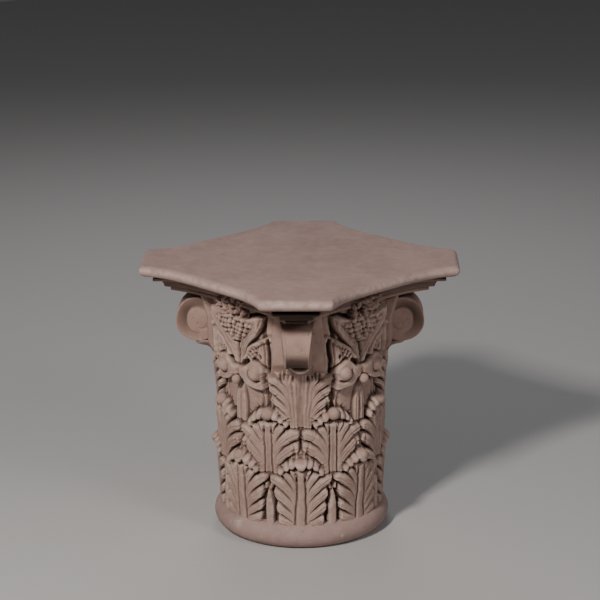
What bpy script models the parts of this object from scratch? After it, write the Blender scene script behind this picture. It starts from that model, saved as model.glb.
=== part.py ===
"""A column capital cast in stone in one piece: slab, stepped moulding, corner volutes, leafy bell, base ring.

Metres, +Z up. The origin is the middle of the underside. The sides look along X and Y, the corners along
the diagonals. The carving on the bell is drawn on one eighth of it, unrolled, then mirrored and turned.
"""

import math

import bmesh
import bpy
from mathutils import Matrix, Vector
from mathutils.geometry import delaunay_2d_cdt

# Slab
HEIGHT = 0.452
SLAB_THICKNESS = 0.0175
SLAB_CORNER = 0.2574
SLAB_CHOP = 0.0558
SLAB_SIDE = 0.2005
EDGE_STEPS = 4
SLAB_RECESS = 0.0003
SIDE_POINTS = (-1.0, -0.85, -0.6, 0.0, 0.6, 0.85, 1.0)

# Stepped moulding under the slab: height, corner distance, half width of the chopped corner, side distance
MOULDING = (
    (0.4262, 0.2220, 0.0330, 0.1480),
    (0.4258, 0.2360, 0.0370, 0.1570),
    (0.4224, 0.2360, 0.0370, 0.1570),
    (0.4206, 0.2225, 0.0270, 0.1525),
    (0.4105, 0.2175, 0.0262, 0.1495),
    (0.4074, 0.2090, 0.0180, 0.1470),
    (0.4020, 0.2090, 0.0180, 0.1470),
)

# Base ring, and the smooth ground of the bell as heights and distances from the axis
RING_RADIUS = 0.1455
RING_HEIGHT = 0.042
RING_STEPS = 5
RING_SIDES = 36
BELL_PROFILE = (
    (0.0300, 0.1275),
    (0.1900, 0.1290),
    (0.2500, 0.1298),
    (0.2950, 0.1305),
    (0.4000, 0.1400),
    (0.4300, 0.1400),
)

# Carving round the bell, on one eighth of it, from the middle of a side to a corner. The leaves are turned a
# little against the slab, and the carving is straight again above them.
LEAF_TURN = math.radians(1.2)
TURNED_BELOW = 0.3200
STRAIGHT_ABOVE = 0.3450
LEAF_RADIUS = 0.1365
EIGHTH = LEAF_RADIUS * math.pi / 4
GROUND_STEPS = 5
NEAREST = 0.0011
RECESS = 0.1300
RECESS_GAP = 0.0014
FAR = 1.0
EYE_RADIUS = 0.1265
LOWER_EYE = 0.1120
UPPER_EYE = 0.1850

# Lobes of the leaves, from the top down: half width and height of the tip, height of the root, distance from
# the axis
LOWER_LOBES = (
    (0.0210, 0.1440, 0.1240, 0.1400),
    (0.0345, 0.1320, 0.1020, 0.1395),
    (0.0530, 0.1180, 0.0800, 0.1385),
    (0.0450, 0.0930, 0.0600, 0.1370),
    (0.0435, 0.0670, 0.0440, 0.1360),
)
UPPER_LOBES = (
    (0.0200, 0.2240, 0.2030, 0.1405),
    (0.0340, 0.2130, 0.1820, 0.1400),
    (0.0530, 0.1980, 0.1600, 0.1400),
    (0.0520, 0.1730, 0.1380, 0.1385),
    (0.0370, 0.1440, 0.1160, 0.1370),
)
CORNER_LOBES = (
    (0.0560, 0.2880, 0.2600, 0.1465),
    (0.0510, 0.2700, 0.2420, 0.1430),
    (0.0480, 0.2520, 0.2260, 0.1415),
    (0.0420, 0.2340, 0.2120, 0.1400),
)
RIB_HALF_WIDTH = 0.0055
RIB_GROOVE = 0.0095
RIB_GROOVE_DEPTH = 0.0040
RIB_RISE = 0.0010
LOBE_BEND = 0.64
LOBE_DROOP = 0.0030
LEAF_HEAD = 0.0170
NOTCH_REACH = 0.80
NOTCH_SHARE = 0.62
NOTCH_DEPTH = 0.0050
LOWER_KNOB = 0.1500
UPPER_KNOB = 0.2290
KNOB_HALF_WIDTH = 0.0120
KNOB_HALF_HEIGHT = 0.0110
KNOB_FRONT = 0.1480
KNOB_SHOULDER = 0.1440
KNOB_FOOT = 0.1350

# Stalks: height, half width, distance from the axis
LANCET = ((0.0420, 0.0072, 0.1330), (0.0850, 0.0070, 0.1330), (0.1000, 0.0040, 0.1320))
BUD_STALK = (
    (0.2050, 0.0120, 0.1340),
    (0.2450, 0.0120, 0.1350),
    (0.2600, 0.0080, 0.1345),
    (0.2720, 0.0020, 0.1320),
)
STALK_SHOULDER = 0.72
STALK_ROUNDING = 0.0012
STALK_SINK = 0.0005

# Middle of a corner leaf: height, half width, distance from the axis, depth of its grooves
CORNER_STRIP = (
    (0.2050, 0.0170, 0.1375, 0.0030),
    (0.2280, 0.0190, 0.1385, 0.0030),
    (0.2500, 0.0205, 0.1400, 0.0030),
    (0.2700, 0.0220, 0.1415, 0.0030),
    (0.2900, 0.0230, 0.1455, 0.0030),
)
# Lines up it, from its edge to its middle: share of the half width, sinking, share of the groove
CORNER_SHARES = ((1.0, 0.0030, 0.0), (0.62, 0.0, 0.0), (0.36, 0.0, 1.0), (0.0, -0.0008, 0.0))

# Its tip, which curls out: height, half width, distance from the axis
CORNER_CURL_SHARES = ((-1.0, 0.0030), (-0.5, 0.0), (0.5, 0.0), (1.0, 0.0030))
CORNER_CURL = (
    (0.2890, 0.0220, 0.1430),
    (0.3020, 0.0205, 0.1545),
    (0.3075, 0.0185, 0.1665),
    (0.3130, 0.0175, 0.1705),
    (0.3180, 0.0175, 0.1670),
    (0.3200, 0.0180, 0.1450),
)

# Corner volutes, in the upright plane through a corner: distance from the axis, and height
VOLUTE_CENTRE = (0.1665, 0.3500)
VOLUTE_TURN = (0.0425, 0.0355, 0.0328, 0.0325)
VOLUTE_EYE = (0.0240, 0.0165, 0.0185, 0.0215)
VOLUTE_STEPS = 16
VOLUTE_RIM = 0.0040
VOLUTE_RIM_SINK = 0.0005
VOLUTE_EYE_DRAFT = 0.0015
VOLUTE_SCOOP = 0.0025
VOLUTE_DEPTH_MEAN = 0.55
VOLUTE_DEPTH_SWING = 0.45
VOLUTE_DEEPEST = 0.15
VOLUTE_DEPTH = 0.0065
VOLUTE_FRONT = 0.2014
VOLUTE_HALF_WIDTH = 0.0185
VOLUTE_SPLAY = 0.41

# Helix of each half side: arc length from the middle of the side, height, half width of the band
HELIX = (
    (0.0700, 0.2790, 0.0075),
    (0.0560, 0.2780, 0.0065),
    (0.0420, 0.2775, 0.0060),
    (0.0290, 0.2820, 0.0060),
    (0.0200, 0.2940, 0.0070),
    (0.0220, 0.3070, 0.0055),
    (0.0310, 0.3150, 0.0040),
    (0.0440, 0.3180, 0.0030),
    (0.0560, 0.3130, 0.0022),
)
HELIX_CREST = 0.1455
HELIX_EDGE = 0.1350
BOSS_OFFSET = 0.0430
BOSS_HEIGHT = 0.3000
BOSS_SIZE = 0.0135
BOSS_FRONT = 0.1500
BOSS_SHOULDER = (0.62, 0.1470)
BOSS_FOOT = 0.1360
BRIDGE = ((0.2855, 0.1370), (0.2940, 0.1400), (0.3030, 0.1370))
BRIDGE_REACH = 0.0145
DROP_HEIGHT = 0.2780
DROP_SIZE = 0.0085
DROP_FRONT = 0.1460
DROP_COVER = 0.7

# Husk in the middle of a side: height, half width, distance of its rim from the axis
HUSK = (
    (0.3060, 0.0090, 0.1360),
    (0.3200, 0.0175, 0.1380),
    (0.3390, 0.0310, 0.1430),
    (0.3585, 0.0450, 0.1490),
    (0.3740, 0.0560, 0.1550),
    (0.3900, 0.0640, 0.1590),
)
HUSK_LIP_SHARES = (0.0, 0.35, 0.7, 1.0)
HUSK_SHARES = ((1.0, 0.0030), (0.88, 0.0), (0.62, 0.0060), (0.0, 0.0085))
BERRY_ROWS = 4
BERRY_TOP = 0.3790
BERRY_PITCH = 0.0115
BERRY_STEP = 0.0100
BERRY_FRONT = 0.1580
BERRY_BACK = 0.0020
BERRY_HALF_HEIGHT = 0.0055
BERRY_RISE = 0.0075

# Block behind a scroll: height, distance of its flanks from the axis, half width
PIER = (
    (0.2960, 0.1400, 0.0437),
    (0.3100, 0.1445, 0.0418),
    (0.3600, 0.1445, 0.0418),
    (0.4100, 0.1600, 0.0360),
)
PIER_SHARES = ((1.0, 0.0), (0.5, 0.0080), (0.0, 0.0080))

# Half palmette between husk and scroll: arc length from the middle of the side, upper edge, lower edge
FAN = (
    (0.0190, 0.3250, 0.3190),
    (0.0300, 0.3380, 0.3210),
    (0.0420, 0.3460, 0.3200),
    (0.0540, 0.3530, 0.3120),
    (0.0670, 0.3580, 0.3050),
)
FAN_RIDGE = 0.0014
FAN_SHARES = ((0.0, 0.1385), (0.12, 0.1475), (0.92, 0.1420))

# Carved leaves and buds over the moulding: arc length, height, half width, half height, distance from the
# axis
ROSETTE = (
    (0.0000, 0.4120, 0.0072, 0.0090, 0.1600),
    (0.0145, 0.4110, 0.0068, 0.0090, 0.1590),
    (0.0280, 0.4060, 0.0062, 0.0085, 0.1560),
    (0.0080, 0.3960, 0.0065, 0.0055, 0.1570),
    (0.0220, 0.3935, 0.0060, 0.0050, 0.1540),
)
ROSETTE_FOOT = 0.1455

CORE = (0.0500, 0.0, 0.2800)
KEPT_FACES = 0.88
MERGE_DISTANCE = 1e-6
STONE_COLOUR = (0.42, 0.33, 0.28, 1.0)
STONE_ROUGHNESS = 0.85
SHARP_EDGE = math.radians(30)


def around(across, radius, height, angle=0.0):
    """The point at this distance from the axis, and this arc length away from the angle."""
    turn = angle + across / radius
    return Vector((radius * math.cos(turn), radius * math.sin(turn), height))


def solid(name, points, faces):
    """A closed mesh from points and faces, triangulated and facing out."""
    mesh = bpy.data.meshes.new(name)
    mesh.from_pydata([tuple(point) for point in points], [], faces)
    work = bmesh.new()
    work.from_mesh(mesh)
    bmesh.ops.remove_doubles(work, verts=work.verts, dist=MERGE_DISTANCE)
    bmesh.ops.triangulate(work, faces=work.faces)
    bmesh.ops.recalc_face_normals(work, faces=work.faces)
    work.to_mesh(mesh)
    work.free()
    item = bpy.data.objects.new(name, mesh)
    bpy.context.scene.collection.objects.link(item)
    return item


def grid_faces(rows, columns, closed=False):
    """Four-sided faces of a grid of points, row after row, joined across its last column when closed."""
    faces = []
    for row in range(rows - 1):
        for column in range(columns if closed else columns - 1):
            after = (column + 1) % columns
            low, high = row * columns, (row + 1) * columns
            faces.append((low + column, low + after, high + after, high + column))
    return faces


def loft(name, rings):
    """A solid through rings of points, with flat ends."""
    count = len(rings[0])
    points = [point for ring in rings for point in ring]
    faces = grid_faces(len(rings), count, closed=True)
    faces.append(tuple(range(count)))
    faces.append(tuple(range(len(points) - count, len(points))))
    return solid(name, points, faces)


def relief(name, rows, core):
    """A carved front, given as rows of points, whose edge runs back to one core point inside the bell."""
    count = len(rows[0])
    points = [point for row in rows for point in row]
    last = len(points) - count
    edge = list(range(count))
    edge += [row * count + count - 1 for row in range(1, len(rows))]
    edge += list(range(last + count - 2, last - 1, -1))
    edge += [row * count for row in range(len(rows) - 2, 0, -1)]
    points.append(core)
    faces = grid_faces(len(rows), count)
    faces += [(edge[i], edge[(i + 1) % len(edge)], len(points) - 1) for i in range(len(edge))]
    return solid(name, points, faces)


def repeated(items, count, first):
    """Copies of these objects all round the axis, the first at this angle. The originals are turned too."""
    copies = []
    for item in items:
        for step in range(1, count):
            copy = bpy.data.objects.new(f"{item.name}_{step + 1}", item.data)
            copy.rotation_euler.z = first + 2 * math.pi * step / count
            bpy.context.scene.collection.objects.link(copy)
            copies.append(copy)
        item.rotation_euler.z = first
    return items + copies


def slab_outline(corner, chop, side, height):
    """A square with hollow sides and chopped corners. A side stays flat and sweeps out near its ends."""
    end_out = (corner + chop) / math.sqrt(2)
    end_along = (corner - chop) / math.sqrt(2)
    outline = []
    for quarter in range(4):
        turn = Matrix.Rotation(quarter * math.pi / 2, 3, "Z")
        for share in SIDE_POINTS:
            out = side + (end_out - side) * share**4
            outline.append(turn @ Vector((out, share * end_along, height)))
    return outline


def slab():
    """The top slab with its half-round edge, and the stepped moulding below it, as one loft."""
    half = SLAB_THICKNESS / 2
    rings = []
    for step in range(EDGE_STEPS + 1):
        swing = math.pi / 2 - math.pi * step / EDGE_STEPS
        inset = half * (1 - math.cos(swing))
        height = HEIGHT - half + half * math.sin(swing)
        chop = SLAB_CHOP - (math.sqrt(2) - 1) * inset
        rings.append(slab_outline(SLAB_CORNER - inset, chop, SLAB_SIDE - inset, height))
    first = MOULDING[0]
    rings.append(slab_outline(first[1], first[2], first[3], HEIGHT - SLAB_THICKNESS - SLAB_RECESS))
    rings += [slab_outline(corner, chop, side, height) for height, corner, chop, side in MOULDING]
    return loft("slab", rings)


def turned(name, profile, sides):
    """A solid of revolution from a profile of radius and height, from its lower to its upper end."""
    step = 2 * math.pi / sides
    rings = []
    for radius, height in profile:
        rings.append([around(0, radius, height, side * step) for side in range(sides)])
    return loft(name, rings)


def base_ring():
    """The half-round ring that the capital stands on."""
    section = RING_HEIGHT / 2
    middle = RING_RADIUS - section
    profile = []
    for step in range(RING_STEPS + 1):
        swing = -math.pi / 2 + math.pi * step / RING_STEPS
        profile.append((middle + section * math.cos(swing), section + section * math.sin(swing)))
    return turned("base_ring", profile, RING_SIDES)


def bell_radius(height):
    """How far the smooth ground of the bell is from the axis at this height."""
    for (low, first), (high, second) in zip(BELL_PROFILE, BELL_PROFILE[1:]):
        if height <= high:
            return first + (second - first) * (height - low) / (high - low)
    return BELL_PROFILE[-1][1]


def inside(outline, across, height):
    """Whether a point lies in a polygon of points across and up."""
    crossed = False
    for (x1, y1), (x2, y2) in zip(outline, outline[1:] + outline[:1]):
        if (y1 > height) != (y2 > height) and across < x1 + (x2 - x1) * (height - y1) / (y2 - y1):
            crossed = not crossed
    return crossed


class Sheet:
    """One eighth of the bell, unrolled: points across, up and out from the axis, and lines that join them.

    What is carved first lies in front, and covers whatever is drawn later behind it.
    """

    def __init__(self):
        self.points = []
        self.lines = []
        self.covers = []

    def add(self, across, height, radius):
        """The number of a point here: a new one, unless one lies within NEAREST."""
        if across < NEAREST:
            across = 0.0
        if across > EIGHTH - NEAREST:
            across = EIGHTH
        for index, point in enumerate(self.points):
            if math.hypot(point[0] - across, point[1] - height) < NEAREST:
                return index
        self.points.append((across, height, radius))
        return len(self.points) - 1

    def draw(self, line):
        """Adds a line, but for what is covered."""
        before = None
        for across, height, radius in line:
            if any(inside(cover, across, height) for cover in self.covers):
                before = None
                continue
            index = self.add(across, height, radius)
            if before not in (None, index):
                self.lines.append((before, index))
            before = index

    def bump(self, across, height, size, tall, rings, steps, arc=2 * math.pi, way=1):
        """A rounded lump: its front point first, then rings of points by share of its size and radius."""
        self.draw([(across, height, rings[0][1])])
        for share, radius in rings[1:]:
            ring = []
            for step in range(steps + 1):
                swing = math.pi / 2 - arc * step / steps
                ring.append((across + way * size * share * math.cos(swing),
                             height + tall * share * math.sin(swing), radius))
            self.draw(ring)

    def knob(self, centre, way, middle):
        """The curled tip of a leaf, seen from the front as half of a small dome."""
        rings = ((0.0, KNOB_FRONT), (0.66, KNOB_SHOULDER), (1.0, KNOB_FOOT))
        self.bump(centre, middle, KNOB_HALF_WIDTH, KNOB_HALF_HEIGHT, rings, 3, math.pi, way)

    def leaf(self, centre, way, lobes, beside):
        """Half a leaf: lobes that rise from a groove beside its middle to their tips, with notches between.

        Returns what the leaf covers, and the feet of its outline in the recess behind it.
        """
        outline, groove, foot = [], [], []

        def lobe(start, root, tip, tip_height, out, droop):
            bend = ((tip + start) / 2, root + (tip_height - root) * LOBE_BEND)
            outline.append((centre + way * tip, tip_height, out - droop))
            foot.append((centre + way * (tip + RECESS_GAP), tip_height + RECESS_GAP, RECESS))
            return [(centre + way * bend[0], bend[1], out), outline[-1]]

        for index, (tip, tip_height, root, out) in enumerate(lobes):
            start = min(beside, tip / 2)
            groove.append((centre + way * start, root, out - RIB_GROOVE_DEPTH))
            self.draw([groove[-1]] + lobe(start, root, tip, tip_height, out, LOBE_DROOP))
            if index + 1 < len(lobes):
                after, after_height, after_root, after_out = lobes[index + 1]
                notch = min(tip, after) * NOTCH_REACH
                notch_height = tip_height + (after_height - tip_height) * NOTCH_SHARE
                sunk = (out + after_out) / 2 - NOTCH_DEPTH
                self.draw(lobe(start, (root + after_root) / 2, notch, notch_height, sunk, LOBE_DROOP / 2))
        self.draw(outline)
        self.draw(groove)
        margin = RECESS_GAP / 2
        cover = [(centre, lobes[0][1] + LEAF_HEAD)]
        cover += [(across + way * margin, height + margin) for across, height, _ in outline]
        cover += [(centre + way * lobes[-1][0], 0.0), (centre, 0.0)]
        return cover, foot

    def rib(self, centre, way, lobes):
        """Half the smooth rib up the middle of a leaf."""
        self.draw([(centre + way * RIB_HALF_WIDTH, root, out + RIB_RISE) for _, _, root, out in lobes])
        self.draw([(centre, root, out + RIB_RISE * 2) for _, _, root, out in lobes[::2]])

    def corner_strip(self):
        """Half of the many-ribbed middle of a corner leaf."""
        for share, sink, grooved in CORNER_SHARES:
            self.draw([(EIGHTH - share * half_width, height, out - sink - grooved * groove)
                       for height, half_width, out, groove in CORNER_STRIP])

    def stalk(self, centre, way, rows):
        """Half a narrow stalk with a rounded front: rows of height, half width and distance from the axis."""
        middle, shoulder, edge = [], [], []
        for height, half_width, radius in rows:
            middle.append((centre, height, radius))
            shoulder.append((centre + way * half_width * STALK_SHOULDER, height, radius - STALK_ROUNDING))
            edge.append((centre + way * half_width, height, bell_radius(height) - STALK_SINK))
        for line in (middle, shoulder, edge):
            self.draw(line)


def unrolled(across, height, radius, at=None):
    """A point of the sheet from the arc length at its own radius, or at another."""
    return across * LEAF_RADIUS / (at or radius), height, radius


def leaf_turn(height):
    """How far the carving is turned: all of LEAF_TURN round the leaves, nothing round the husks."""
    share = (STRAIGHT_ABOVE - height) / (STRAIGHT_ABOVE - TURNED_BELOW)
    return LEAF_TURN * min(max(share, 0.0), 1.0)


def wrapped(name, sheet):
    """A closed solid from eight copies of a sheet, with its lower and upper ends flat."""
    flat = [Vector(point[:2]) for point in sheet.points]
    places, _, faces, origins, _, _ = delaunay_2d_cdt(flat, sheet.lines, [], 0, MERGE_DISTANCE)
    points, sides = [], []
    for quarter in range(4):
        for way in (-1, 1):
            start = len(points)
            for place, origin in zip(places, origins):
                radius = sheet.points[origin[0]][2] if origin else bell_radius(place.y)
                turn = quarter * math.pi / 2 + way * place.x / LEAF_RADIUS + leaf_turn(place.y)
                points.append(Vector((radius * math.cos(turn), radius * math.sin(turn), place.y)))
            sides += [tuple(start + index for index in face) for face in faces]
            for height in (BELL_PROFILE[0][0], BELL_PROFILE[-1][0]):
                rim = sorted((place.x, start + index) for index, place in enumerate(places)
                             if abs(place.y - height) < MERGE_DISTANCE)
                points.append(Vector((0, 0, height)))
                sides += [(one[1], two[1], len(points) - 1) for one, two in zip(rim, rim[1:])]
    return solid(name, points, sides)


def draw_leaves(sheet):
    """Two tiers of leaves with the lancets between them. Returns the feet of their outlines."""
    half = EIGHTH / 2
    feet = []
    tiers = (
        (LOWER_LOBES, LOWER_KNOB, ((0.0, 1), (EIGHTH, -1))),
        (UPPER_LOBES, UPPER_KNOB, ((half, 1), (half, -1))),
    )
    for lobes, middle, places in tiers:
        covers = []
        for centre, way in places:
            sheet.knob(centre, way, middle)
            cover, foot = sheet.leaf(centre, way, lobes, RIB_GROOVE)
            sheet.rib(centre, way, lobes)
            covers.append(cover)
            feet.append(foot)
        if lobes is LOWER_LOBES:
            for way in (-1, 1):
                sheet.stalk(half, way, LANCET)
            sheet.draw([(half, LOWER_EYE, EYE_RADIUS)])
        sheet.covers += covers
    for across in (0.0, EIGHTH):
        sheet.draw([(across, UPPER_EYE, EYE_RADIUS)])
    return feet


def draw_helix(sheet):
    """The drop and bridge in the middle of a side, and the helix that curls round its boss."""
    sheet.bump(0.0, DROP_HEIGHT, DROP_SIZE, DROP_SIZE, ((0.0, DROP_FRONT), (1.0, HELIX_EDGE)), 3, math.pi)
    low, high = DROP_HEIGHT - DROP_SIZE, DROP_HEIGHT + DROP_SIZE * DROP_COVER
    sheet.covers.append([(-FAR, low), (DROP_SIZE, low), (DROP_SIZE, high), (-FAR, high)])
    for height, radius in BRIDGE:
        sheet.draw([(0.0, height, radius), (BRIDGE_REACH, height, radius)])
    rings = ((0.0, BOSS_FRONT), BOSS_SHOULDER, (1.0, BOSS_FOOT))
    sheet.bump(BOSS_OFFSET * LEAF_RADIUS / HELIX_CREST, BOSS_HEIGHT, BOSS_SIZE, BOSS_SIZE, rings, 6)
    edges = ([], [], [])
    sides = ((-1, HELIX_EDGE), (0, HELIX_CREST), (1, HELIX_EDGE))
    for index, (across, height, half) in enumerate(HELIX):
        before, after = HELIX[max(index - 1, 0)], HELIX[min(index + 1, len(HELIX) - 1)]
        along = Vector((after[0] - before[0], after[1] - before[1])).normalized()
        for edge, (side, radius) in zip(edges, sides):
            spot = (across - along.y * half * side, height + along.x * half * side)
            edge.append(unrolled(*spot, radius, HELIX_CREST))
    for edge in edges:
        sheet.draw(edge)
    band = [point[:2] for point in edges[0] + edges[2][::-1]]
    middle = [(0.0, BRIDGE[0][0] - RECESS_GAP), (BOSS_OFFSET, BRIDGE[0][0]), (BOSS_OFFSET, BRIDGE[2][0]),
              (0.0, BRIDGE[2][0] + RECESS_GAP)]
    sheet.covers += [band, middle]


def draw_husk(sheet):
    """Half of the trumpet-shaped calyx of a side, with the bunch of berries in its mouth."""
    for row in range(BERRY_ROWS):
        count = BERRY_ROWS - row
        front = BERRY_FRONT - BERRY_BACK * row
        rings = ((0.0, front), (1.0, front - BERRY_RISE))
        for index in range(count):
            across = (index - (count - 1) / 2) * BERRY_PITCH
            if across > -NEAREST:
                height = BERRY_TOP - row * BERRY_STEP
                sheet.bump(across, height, BERRY_PITCH / 2, BERRY_HALF_HEIGHT, rings, 4)
    reach = BERRY_ROWS * BERRY_PITCH / 2 + RECESS_GAP
    high, low = BERRY_TOP + BERRY_HALF_HEIGHT + RECESS_GAP, BERRY_TOP - BERRY_HALF_HEIGHT
    point = BERRY_TOP - BERRY_STEP * (BERRY_ROWS - 1) - BERRY_HALF_HEIGHT - RECESS_GAP
    sheet.covers.append([(-FAR, high), (reach, high), (reach, low), (RECESS_GAP, point), (-FAR, point)])
    edges = []
    for share, sunk in HUSK_SHARES:
        edges.append([unrolled(half * share, height, radius - sunk, radius) for height, half, radius in HUSK])
        sheet.draw(edges[-1])
    for row in zip(*edges):
        sheet.draw(row)
    outer, bottom, top = edges[0], HUSK[0][0], HUSK[-1][0]
    sheet.covers.append([(0.0, bottom)] + [point[:2] for point in outer] + [(0.0, top)])
    sheet.draw([(across + RECESS_GAP, height, bell_radius(height)) for across, height, _ in outer])
    sheet.draw([(outer[-1][0] * share, top + RECESS_GAP, bell_radius(top)) for share in HUSK_LIP_SHARES])


def draw_pier(sheet):
    """Half of the block behind a scroll, which carries it down to the corner leaf."""
    edges = []
    for share, rise in PIER_SHARES:
        edge = []
        for height, distance, half in PIER:
            radius = math.hypot(distance + rise, half * share)
            swing = math.asin(half * share / radius)
            edge.append((EIGHTH - swing * LEAF_RADIUS, height, radius))
        edges.append(edge)
        sheet.draw(edge)
    for row in zip(*edges):
        sheet.draw(row)
    outer, bottom, top = edges[0], PIER[0][0], PIER[-1][0]
    sheet.covers.append([(FAR, bottom)] + [point[:2] for point in outer] + [(FAR, top)])
    sheet.draw([(across - RECESS_GAP, height, bell_radius(height)) for across, height, _ in outer])
    sheet.draw([(edge[0][0], bottom - RECESS_GAP, bell_radius(bottom)) for edge in edges])


def draw_fan(sheet):
    """The half palmette beside a husk, with ribs that hang from its sweeping upper edge."""
    rows = []
    for share, radius in FAN_SHARES:
        row = []
        for index, (across, top, bottom) in enumerate(FAN):
            ridge = FAN_RIDGE if index % 2 else -FAN_RIDGE
            height = top + (bottom - top) * share
            row.append(unrolled(across, height, radius + ridge * share, FAN_SHARES[0][1]))
        rows.append(row)
        sheet.draw(row)
    for rib in zip(*rows):
        sheet.draw(rib)
    for across, top, bottom in FAN:
        sheet.draw([unrolled(across, bottom - RECESS_GAP / 2, RECESS, FAN_SHARES[0][1])])


def drum():
    """The bell with all the carving that lies on it, from one eighth mirrored and turned."""
    sheet = Sheet()
    ground = [EIGHTH * step / GROUND_STEPS for step in range(GROUND_STEPS + 1)]
    for height, radius in (BELL_PROFILE[0], BELL_PROFILE[-1]):
        sheet.draw([(across, height, radius) for across in ground])
    feet = draw_leaves(sheet)
    draw_helix(sheet)
    sheet.corner_strip()
    cover, foot = sheet.leaf(EIGHTH, -1, CORNER_LOBES, CORNER_STRIP[-1][1])
    sheet.covers.append(cover)
    sheet.stalk(0.0, 1, BUD_STALK)
    draw_husk(sheet)
    draw_pier(sheet)
    draw_fan(sheet)
    for across, height, half, tall, front in ROSETTE:
        sheet.bump(across * LEAF_RADIUS / front, height, half, tall, ((0.0, front), (1.0, ROSETTE_FOOT)), 5)
    for foot in feet + [foot]:
        for point in foot:
            sheet.draw([point])
    for height, radius in BELL_PROFILE[1:-1]:
        for across in ground:
            sheet.draw([(across, height, radius)])
    return wrapped("capital", sheet)


def corner_curl():
    """The tip of a corner leaf, which curls out under the scroll and ends flat."""
    front = []
    for height, half_width, out in CORNER_CURL:
        front.append([around(share * half_width, out - sink, height) for share, sink in CORNER_CURL_SHARES])
    return relief("corner_curl", front, Vector(CORE))


def quarter_curve(values, turns):
    """A smooth value between the given quarter turns, by a cosine step from each to the next."""
    step = turns * len(values) % len(values)
    low = int(step)
    share = (1 - math.cos(math.pi * (step - low))) / 2
    return values[low] + (values[(low + 1) % len(values)] - values[low]) * share


def volute():
    """A scroll on a corner: front ribbon, raised rim, sunk channel and raised inner disc on each side."""
    points = []

    def place(distance, height, side, sunk):
        spread = VOLUTE_HALF_WIDTH + VOLUTE_SPLAY * (VOLUTE_FRONT - distance) - sunk
        points.append(Vector((distance, side * spread, height)))

    for step in range(VOLUTE_STEPS):
        turns = step / VOLUTE_STEPS
        outer = quarter_curve(VOLUTE_TURN, turns)
        inner = quarter_curve(VOLUTE_EYE, turns)
        swing = math.pi / 2 - 2 * math.pi * turns
        swell = math.cos(2 * math.pi * (turns - VOLUTE_DEEPEST))
        depth = VOLUTE_DEPTH * (VOLUTE_DEPTH_MEAN + VOLUTE_DEPTH_SWING * swell)
        rim = (outer - VOLUTE_RIM, VOLUTE_RIM_SINK)
        reach = ((inner - VOLUTE_EYE_DRAFT, 0), (inner, depth), rim, (outer, 0))
        across, up = math.cos(swing), math.sin(swing)
        for radius, sunk in reach:
            place(VOLUTE_CENTRE[0] + radius * across, VOLUTE_CENTRE[1] + radius * up, 1, sunk)
        middle = outer - VOLUTE_SCOOP
        points.append(Vector((VOLUTE_CENTRE[0] + middle * across, 0, VOLUTE_CENTRE[1] + middle * up)))
        for radius, sunk in reversed(reach):
            place(VOLUTE_CENTRE[0] + radius * across, VOLUTE_CENTRE[1] + radius * up, -1, sunk)
    columns = len(points) // VOLUTE_STEPS
    faces = grid_faces(VOLUTE_STEPS, columns)
    last = (VOLUTE_STEPS - 1) * columns
    faces += [(last + i, last + i + 1, i + 1, i) for i in range(columns - 1)]
    for side, column in ((1, 0), (-1, columns - 1)):
        place(*VOLUTE_CENTRE, side, 0)
        hub = len(points) - 1
        for step in range(VOLUTE_STEPS):
            after = (step + 1) % VOLUTE_STEPS
            faces.append((step * columns + column, after * columns + column, hub))
    return solid("volute", points, faces)


def united(body, name, items):
    """Joins these solids to the body and hides them as helpers in a collection of their own."""
    helpers = bpy.data.collections.new(name)
    helpers.hide_render = True
    bpy.context.scene.collection.children.link(helpers)
    for item in items:
        item.hide_render = True
        item.display_type = "WIRE"
        helpers.objects.link(item)
        bpy.context.scene.collection.objects.unlink(item)
    union = body.modifiers.new(name, "BOOLEAN")
    union.operation = "UNION"
    union.operand_type = "COLLECTION"
    union.solver = "EXACT"
    union.collection = helpers


def stone():
    """The matt sandy stone."""
    material = bpy.data.materials.new("cast_stone")
    material.use_nodes = True
    shader = material.node_tree.nodes["Principled BSDF"]
    shader.inputs["Base Color"].default_value = STONE_COLOUR
    shader.inputs["Roughness"].default_value = STONE_ROUGHNESS
    shader.inputs["Metallic"].default_value = 0.0
    return material


def main():
    for item in list(bpy.data.objects):
        bpy.data.objects.remove(item, do_unlink=True)

    corner = math.pi / 4
    forms = [slab(), base_ring()]
    forms += repeated([corner_curl()], 4, corner + LEAF_TURN)
    forms += repeated([volute()], 4, corner)
    capital = drum()
    capital.data.materials.append(stone())
    thinned = capital.modifiers.new("thinned", "DECIMATE")
    thinned.ratio = KEPT_FACES
    united(capital, "whole_forms", forms)
    capital.data.shade_smooth()
    capital.data.set_sharp_from_angle(angle=SHARP_EDGE)


main()
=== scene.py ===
"""A column capital in cast stone over its plain solid: fine carving, matt sandy stone and a pale studio.

Metres, +Z up. The carving on the bell is one field of distances from the axis, worked out over angle and
height.
"""

import math

import bpy
import numpy as np
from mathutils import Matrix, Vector


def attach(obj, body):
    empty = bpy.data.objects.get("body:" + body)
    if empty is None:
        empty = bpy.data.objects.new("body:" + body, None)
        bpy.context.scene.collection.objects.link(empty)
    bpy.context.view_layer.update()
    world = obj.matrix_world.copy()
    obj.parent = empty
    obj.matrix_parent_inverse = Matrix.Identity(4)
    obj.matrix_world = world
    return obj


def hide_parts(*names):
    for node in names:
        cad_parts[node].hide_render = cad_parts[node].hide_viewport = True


# Bell: radius that arc lengths are measured on, grid of its field, plain profile by height, the bands that
# it is made in by their lower ends, how near to the axis it is carved, rows of its noise
LEAF_RADIUS = 0.1365
EIGHTH = LEAF_RADIUS * math.pi / 4
COLUMNS = 880
BELL_LOW = 0.036
BELL_HIGH = 0.404
ROW_STEP = 0.00098
BELL_PROFILE = ((0.03, 0.1275), (0.19, 0.129), (0.25, 0.1298), (0.295, 0.1305), (0.4, 0.14), (0.43, 0.14))
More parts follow.
